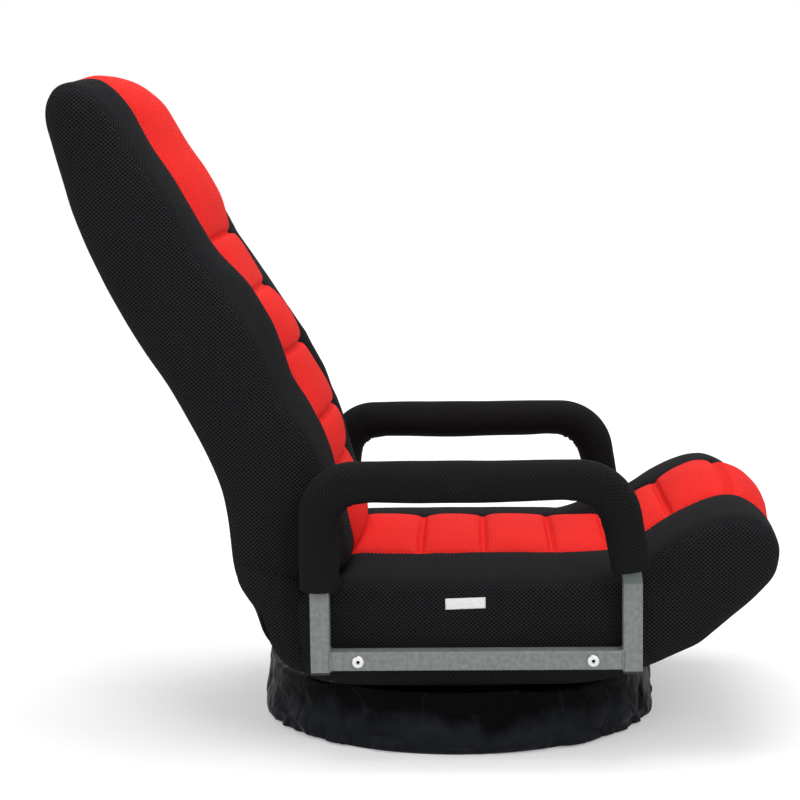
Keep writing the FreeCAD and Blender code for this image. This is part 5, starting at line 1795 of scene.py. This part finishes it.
@dataclass
class Skirt:
    """Gathered cloth round the base: a flat top, a soft edge and folds that grow towards the hem.

    Attributes:
        radius: Distance from the axis to the cloth's side.
        opening: Radius of the hole in the cloth's top.
        top: Height of the cloth's top.
        hem: Height of its hem.
        inside: Radius that the side stays outside of.
        floor: Lowest height of the top.
        shoulder: Radius of the soft edge.
        turn_up: Height of the hem's roll.
        fold_deep: How far a full fold stands out.
        tight: How far the upper side is drawn in.
        seed: Number that fixes the draw of the folds' places.
        hangs: Angle, width and depth of the places where the cloth hangs fuller or tighter.
    """

    radius: float = 0.2745
    opening: float = 0.146
    top: float = 0.0845
    hem: float = 0.003
    inside: float = 0.2675
    floor: float = 0.0838
    shoulder: float = 0.010
    turn_up: float = 0.009
    fold_deep: float = 0.0078
    tight: float = 0.0065
    cloth: float = 0.0006
    around: int = 900
    seed: int = 4
    hangs: Sequence[Spot] = ((214.0, 18.0, 0.0050), (182.0, 13.0, -0.0035), (318.0, 26.0, 0.0070),
                             (2.0, 14.0, -0.0050))

    def hang(self, angle: float) -> float:
        """Find how much fuller or tighter the cloth hangs.

        Args:
            angle: Angle round the axis, in radians.

        Returns:
            Metres, outward.
        """
        total = 0.0
        for centre, wide, more in self.hangs:
            apart = (math.degrees(angle) - centre + 180) % 360 - 180
            total += more * math.exp(-(apart / wide) ** 2)
        return total

    def profile(self) -> list[Spot]:
        """List the rings from the opening to the hem.

        Returns:
            Distance out, height and share of the folds of each ring.
        """
        flat = self.inside - 0.006 - self.opening
        rings = [(self.opening + flat * share, self.top, 0.0) for share in (0, 0.15, 0.4, 0.65, 0.85, 1.0)]
        for angle in (18, 36, 54, 72, 90):
            turn = math.radians(angle)
            rings.append((self.radius - 0.001 - self.shoulder * (1 - math.sin(turn)),
                          self.top - self.shoulder * (1 - math.cos(turn)), 0.10 * angle / 90))
        drop = self.top - self.shoulder - self.hem - self.turn_up
        for share in np.linspace(0.05, 1, 22):
            rings.append((self.radius - 0.001 + 0.001 * share, self.top - self.shoulder - drop * share,
                          0.10 + 0.9 * share ** 1.2))
        for angle in (30, 60, 90, 120):
            turn = math.radians(angle)
            height = self.hem + (self.turn_up * (1 - math.sin(turn)) if angle <= 90 else 0.002)
            rings.append((self.radius - 0.0015 * (1 - math.cos(turn)), height, 1.0 - 0.25 * angle / 90))
        return rings

    def fold(self, angle: float, height: float) -> float:
        """Find how far the folds stand out: pillows between creases, and finer creases in them.

        Args:
            angle: Angle round the axis, in radians.
            height: Height above the floor.

        Returns:
            A share from about -1 to 1.
        """
        spot = Vector((math.cos(angle) * self.radius, math.sin(angle) * self.radius, height))
        spot += 0.016 * noise.noise_vector(spot * 15)
        total = 0.36 * noise.noise(spot * 11)
        for across, up, shift, sharp, share in ((14, 17, 0, 0.24, 0.55), (33, 26, 7, 0.12, 0.16)):
            cell = Vector((spot.x * across, spot.y * across, spot.z * up + shift))
            near, far = noise.voronoi(cell)[0][:2]
            pillow = 1 - math.exp(-((far - near) / sharp) ** 2)
            total += share * (2 * pillow - 1)
        return total

    def point(self, angle: float, reach: float, height: float, share: float) -> Spot:
        """Place one point of the cloth.

        Args:
            angle: Angle round the axis, in radians.
            reach: Distance out of the point's ring.
            height: Height of the ring.
            share: Share of the folds there.

        Returns:
            The point.
        """
        sag = 0.0012 * noise.noise(Vector((math.cos(angle) * reach * 22, math.sin(angle) * reach * 22, 0)))
        lift = -abs(sag) if reach < self.inside else sag
        out = max(reach, 0)
        if share:
            fuller = self.hang(angle)
            puff = 0.4 * math.exp(-((height - 0.028) / 0.016) ** 2)
            drawn = smoothstep((height - 0.030) / 0.035) * smoothstep(1 - abs(fuller) / 0.003)
            swell = (self.fold(angle, height) + puff) * share * self.fold_deep + fuller
            swell -= self.tight * float(drawn)
            out = max(reach + swell - 0.0012 * share, self.inside + self.cloth)
        least = self.hem if reach > self.inside else self.floor
        return out * math.cos(angle), out * math.sin(angle), max(height + lift, least)

    def build(self) -> None:
        noise.seed_set(self.seed)  # without a seed, noise_vector differs from run to run
        rings = self.profile()
        count = self.around
        down = np.r_[0, np.cumsum([math.dist(a[:2], b[:2]) for a, b in zip(rings, rings[1:])])]
        points = [self.point(2 * math.pi * step / count, *ring) for ring in rings for step in range(count)]
        faces = [face[:1] + face[:0:-1] for face in ring_faces(len(rings), count)]
        length = 2 * math.pi * self.radius * 1.05 / count
        corners = []
        for number in range(len(faces)):
            row, spot = divmod(number, count)
            first, second, high, low = spot * length, (spot + 1) * length, down[row], down[row + 1]
            corners += [(first, high), (first, low), (second, low), (second, high)]
        piece = Build.mesh("base_skirt_cloth", np.array(points), faces, np.array(corners))
        Build.rim(piece, self.cloth)
        piece.data.materials.append(SKIRT_CLOTH.build())
        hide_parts("base_skirt", "skirt_top")
        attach(piece, "base")
        LOG.info("skirt: %d faces", len(piece.data.polygons))


@dataclass
class Tag:
    """Small blank cloth tag sewn to the seat's right side."""

    low: Pair = (-0.0150, 0.1965)
    high: Pair = (0.0372, 0.2108)
    thick: float = 0.0009
    off: float = 0.0004
    tilt: float = 0.03
    across: int = 18
    up: int = 8
    thread_radius: float = 0.00028
    thread_dip: float = 0.0005
    thread_sides: int = 6

    def build(self, cover: Piece) -> None:
        """Lay the tag on the cover's side and sew it down.

        Args:
            cover: The seat's cover.
        """
        bpy.context.evaluated_depsgraph_get().update()
        across, up = self.across, self.up
        points, faces, corners = [], [], []
        for j in range(up + 1):
            for i in range(across + 1):
                x = self.low[0] + (self.high[0] - self.low[0]) * i / across
                z = self.low[1] + (self.high[1] - self.low[1]) * j / up + (x - self.low[0]) * self.tilt
                hit, place, _, _ = cover.ray_cast(Vector((x, -0.5, z)), Vector((0, 1, 0)))
                y = place.y if hit else -0.272
                curl = 0.0010 * abs(noise.noise(Vector((x * 60, z * 60, 2.0))))
                points.append((x, y - self.thick - self.off - curl, z))
        for j in range(up):
            for i in range(across):
                first = j * (across + 1) + i
                faces.append((first, first + 1, first + across + 2, first + across + 1))
                corners += [(points[p][0], points[p][2]) for p in faces[-1]]
        piece = Build.mesh("side_tag", np.array(points), faces, np.array(corners))
        Build.rim(piece, self.thick)
        piece.data.materials.append(TAG_CLOTH.build())
        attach(piece, "seat")
        self.stitches(np.array(points).reshape(up + 1, across + 1, 3))
        wide, tall = ((high - low) * 1000 for low, high in zip(self.low, self.high))
        LOG.info("tag: %.0f by %.0f mm", wide, tall)

    def stitches(self, grid: np.ndarray) -> None:
        """Sew short threads along the tag's two ends.

        Args:
            grid: The tag's points, row by row.
        """
        points, faces = [], []
        for column, beside in ((0, 1), (self.across, self.across - 1)):
            line = grid[:, column] * 0.72 + grid[:, beside] * 0.28
            runs = np.linspace(0, self.up, 19)
            for first, last in zip(runs[::2], runs[1::2]):
                spots = [np.array([np.interp(s, range(len(line)), line[:, k]) for k in range(3)])
                         for s in np.linspace(first, last, 5)]
                faces += ring_faces(len(spots), self.thread_sides, len(points))
                points += self.thread(spots)
        piece = Build.mesh("side_tag_stitches", np.array(points), faces)
        piece.data.materials.append(WHITE_THREAD.build())
        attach(piece, "seat")

    def thread(self, spots: Sequence[np.ndarray]) -> list[Spot]:
        """Work out the points of one short thread, whose ends dip into the cloth.

        Args:
            spots: Points along the thread.

        Returns:
            A ring of points for each of them.
        """
        points = []
        for place, spot in enumerate(spots):
            dip = self.thread_dip * (abs(place / (len(spots) - 1) - 0.5) * 2) ** 3
            for turn in range(self.thread_sides):
                angle = 2 * math.pi * turn / self.thread_sides
                points.append((spot[0] + self.thread_radius * math.cos(angle),
                               spot[1] - self.off + dip + self.thread_radius * math.sin(angle), spot[2]))
        return points


# The solids that keep their shape

@dataclass
class Ironwork:
    """Finishes of the solids that show as they are, by the first words of their names."""

    finishes: dict[Finish, Sequence[str]] = field(default_factory=lambda: {
        GREY_COAT: ("armrest_loop", "armrest_rail"),
        BOLT_STEEL: ("armrest_bolts",),
        BLACK_PLASTIC: ("armrest_end_caps",),
        GLIDE_RUBBER: ("floor_glides",),
        INNER_COAT: ("floor_ring", "upper_ring", "ring_posts", "base_cross_bars", "seat_side_tube",
                     "seat_front_tube", "seat_cross_bars", "back_side_tube", "back_top_tube",
                     "back_cross_bars"),
        ZINC: ("rivet_nuts", "lower_race_plate", "upper_race_plate", "lower_plate_screws",
               "upper_plate_screws", "swivel_hub_rivet"),
        BALL_STEEL: ("bearing_balls",),
        STRAP: ("seat_webbing",),
        HINGE_STEEL: ("hinge", "pawl")})

    def dress(self) -> None:
        """Give each solid the finish whose word its name starts with."""
        for finish, words in self.finishes.items():
            for name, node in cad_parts.items():
                if name.startswith(tuple(words)):
                    material = finish.build()
                    for slot in node.material_slots:
                        slot.material = material
                    LOG.info("%s: %s", name, finish.name)


# Studio

@dataclass
class Studio:
    """Pale floor, soft light and the camera that took the picture."""

    lens: float = 94.48
    sensor: float = 36.0
    place: Spot = (0.0245, -2.9386, 0.825)
    pitch: float = 7.55
    yaw: float = -2.03
    roll: float = 0.82
    floor_half: float = 14.0
    floor_grey: float = 0.78
    glow_reach: Pair = (0.6, 3.2)
    glow: Pair = (0.30, 0.58)
    sky: Pair = (0.60, 1.0)
    aim: Spot = (-0.05, 0.0, 0.35)

    def build(self) -> None:
        """Make the floor, the world, the lamps and the camera."""
        scene = bpy.context.scene
        scene.view_settings.view_transform = "Standard"
        self.floor()
        self.world()
        self.lamps()
        scene.camera = self.camera()

    @staticmethod
    def by_sight(tree: Tree, light: Socket, sight: Socket, target: Socket) -> None:
        """Show one shader to the camera and to mirror-like and clear rays, and another to the rest.

        Args:
            tree: The tree.
            light: The shader that lights the scene.
            sight: The shader that is seen.
            target: Where the two go.
        """
        ray = tree.add("ShaderNodeLightPath").outputs
        mirrored = tree.math("MAXIMUM", ray["Is Glossy Ray"], ray["Is Transmission Ray"])
        mix = tree.add("ShaderNodeMixShader")
        share = tree.math("MAXIMUM", ray["Is Camera Ray"], mirrored)
        for source, end in zip((share, light, sight), mix.inputs):
            tree.feed(source, end)
        tree.feed(mix.outputs[0], target)

    def floor(self) -> None:
        """Make a wide plain floor that reads white where no shadow falls."""
        half = self.floor_half
        points = np.array([(-half, -half, 0), (half, -half, 0), (half, half, 0), (-half, half, 0)])
        piece = Build.mesh("studio_floor", points, [(0, 1, 2, 3)])
        material = bpy.data.materials.new("studio_floor")
        material.use_nodes = True
        tree = Tree(material.node_tree)
        out = tree.add("ShaderNodeOutputMaterial")
        shader = tree.add("ShaderNodeBsdfPrincipled")
        grey = (self.floor_grey, self.floor_grey, self.floor_grey, 1)
        for name, value in (("Base Color", grey), ("Roughness", 0.9), ("Specular IOR Level", 0.1)):
            shader.inputs[name].default_value = value
        glow = tree.add("ShaderNodeEmission")
        glow.inputs["Color"].default_value = (1, 1, 1, 1)
        away = tree.add("ShaderNodeVectorMath", operation="LENGTH")
        tree.feed(tree.add("ShaderNodeTexCoord").outputs["Object"], away.inputs[0])
        strength = tree.remap(away.outputs["Value"], *self.glow_reach, *self.glow)
        tree.feed(strength, glow.inputs["Strength"])
        add = tree.add("ShaderNodeAddShader")
        tree.feed(shader.outputs[0], add.inputs[0])
        tree.feed(glow.outputs[0], add.inputs[1])
        self.by_sight(tree, shader.outputs[0], add.outputs[0], out.inputs["Surface"])
        piece.data.materials.append(material)

    def world(self) -> None:
        """Make a sky that is white to the eye and in reflections, and soft grey as light."""
        world = bpy.data.worlds.new("studio")
        bpy.context.scene.world = world
        world.use_nodes = True
        tree = Tree(world.node_tree)
        out = tree.add("ShaderNodeOutputWorld")
        skies = []
        for strength in self.sky:
            sky = tree.add("ShaderNodeBackground")
            sky.inputs["Color"].default_value = (1, 1, 1, 1)
            sky.inputs["Strength"].default_value = strength
            skies.append(sky.outputs[0])
        self.by_sight(tree, *skies, out.inputs["Surface"])

    def lamps(self) -> None:
        """Hang large soft lamps: one in front and above, one from the left and one overhead."""
        lamps = (("key", (1.6, -2.6, 2.4), 1.6, 37.0), ("side", (-2.8, -1.6, 1.7), 1.6, 18.0),
                 ("top", (0.0, 0.3, 3.2), 2.2, 56.0))
        for name, place, size, power in lamps:
            lamp = bpy.data.lights.new(name, "AREA")
            lamp.shape = "SQUARE"
            lamp.size = size
            lamp.energy = power
            holder = bpy.data.objects.new(name, lamp)
            holder.location = place
            ahead = Vector(self.aim) - Vector(place)
            holder.rotation_euler = ahead.to_track_quat("-Z", "Y").to_euler()
            bpy.context.scene.collection.objects.link(holder)

    def camera(self) -> Piece:
        """Place the camera at its fitted place and angles.

        Returns:
            The camera's object.
        """
        pitch, yaw, roll = (math.radians(angle) for angle in (self.pitch, self.yaw, self.roll))
        ahead = Vector((math.sin(yaw) * math.cos(pitch), math.cos(yaw) * math.cos(pitch), -math.sin(pitch)))
        right = Vector((math.cos(yaw), -math.sin(yaw), 0))
        down = ahead.cross(right)
        right_rolled = right * math.cos(roll) + down * math.sin(roll)
        down_rolled = -right * math.sin(roll) + down * math.cos(roll)
        given = bpy.data.cameras.new("camera")
        given.lens = self.lens
        given.sensor_width = self.sensor
        given.sensor_fit = "HORIZONTAL"
        holder = bpy.data.objects.new("camera", given)
        turned = Matrix((right_rolled, -down_rolled, -ahead)).transposed()
        holder.matrix_world = Matrix.Translation(Vector(self.place)) @ turned.to_4x4()
        bpy.context.scene.collection.objects.link(holder)
        return holder


def main() -> None:
    """Build the chair's looks in order and report each piece."""
    logging.basicConfig(level=logging.INFO, format="%(name)s: %(message)s")
    Studio().build()
    Ironwork().dress()
    Upholstery().build()
    for side in (1, -1):
        Sleeve(side).build()
    WeldBeads().build()
    Skirt().build()
    Tag().build(bpy.data.objects["seat_cushion_cover"])


if __name__ == "__main__":
    main()
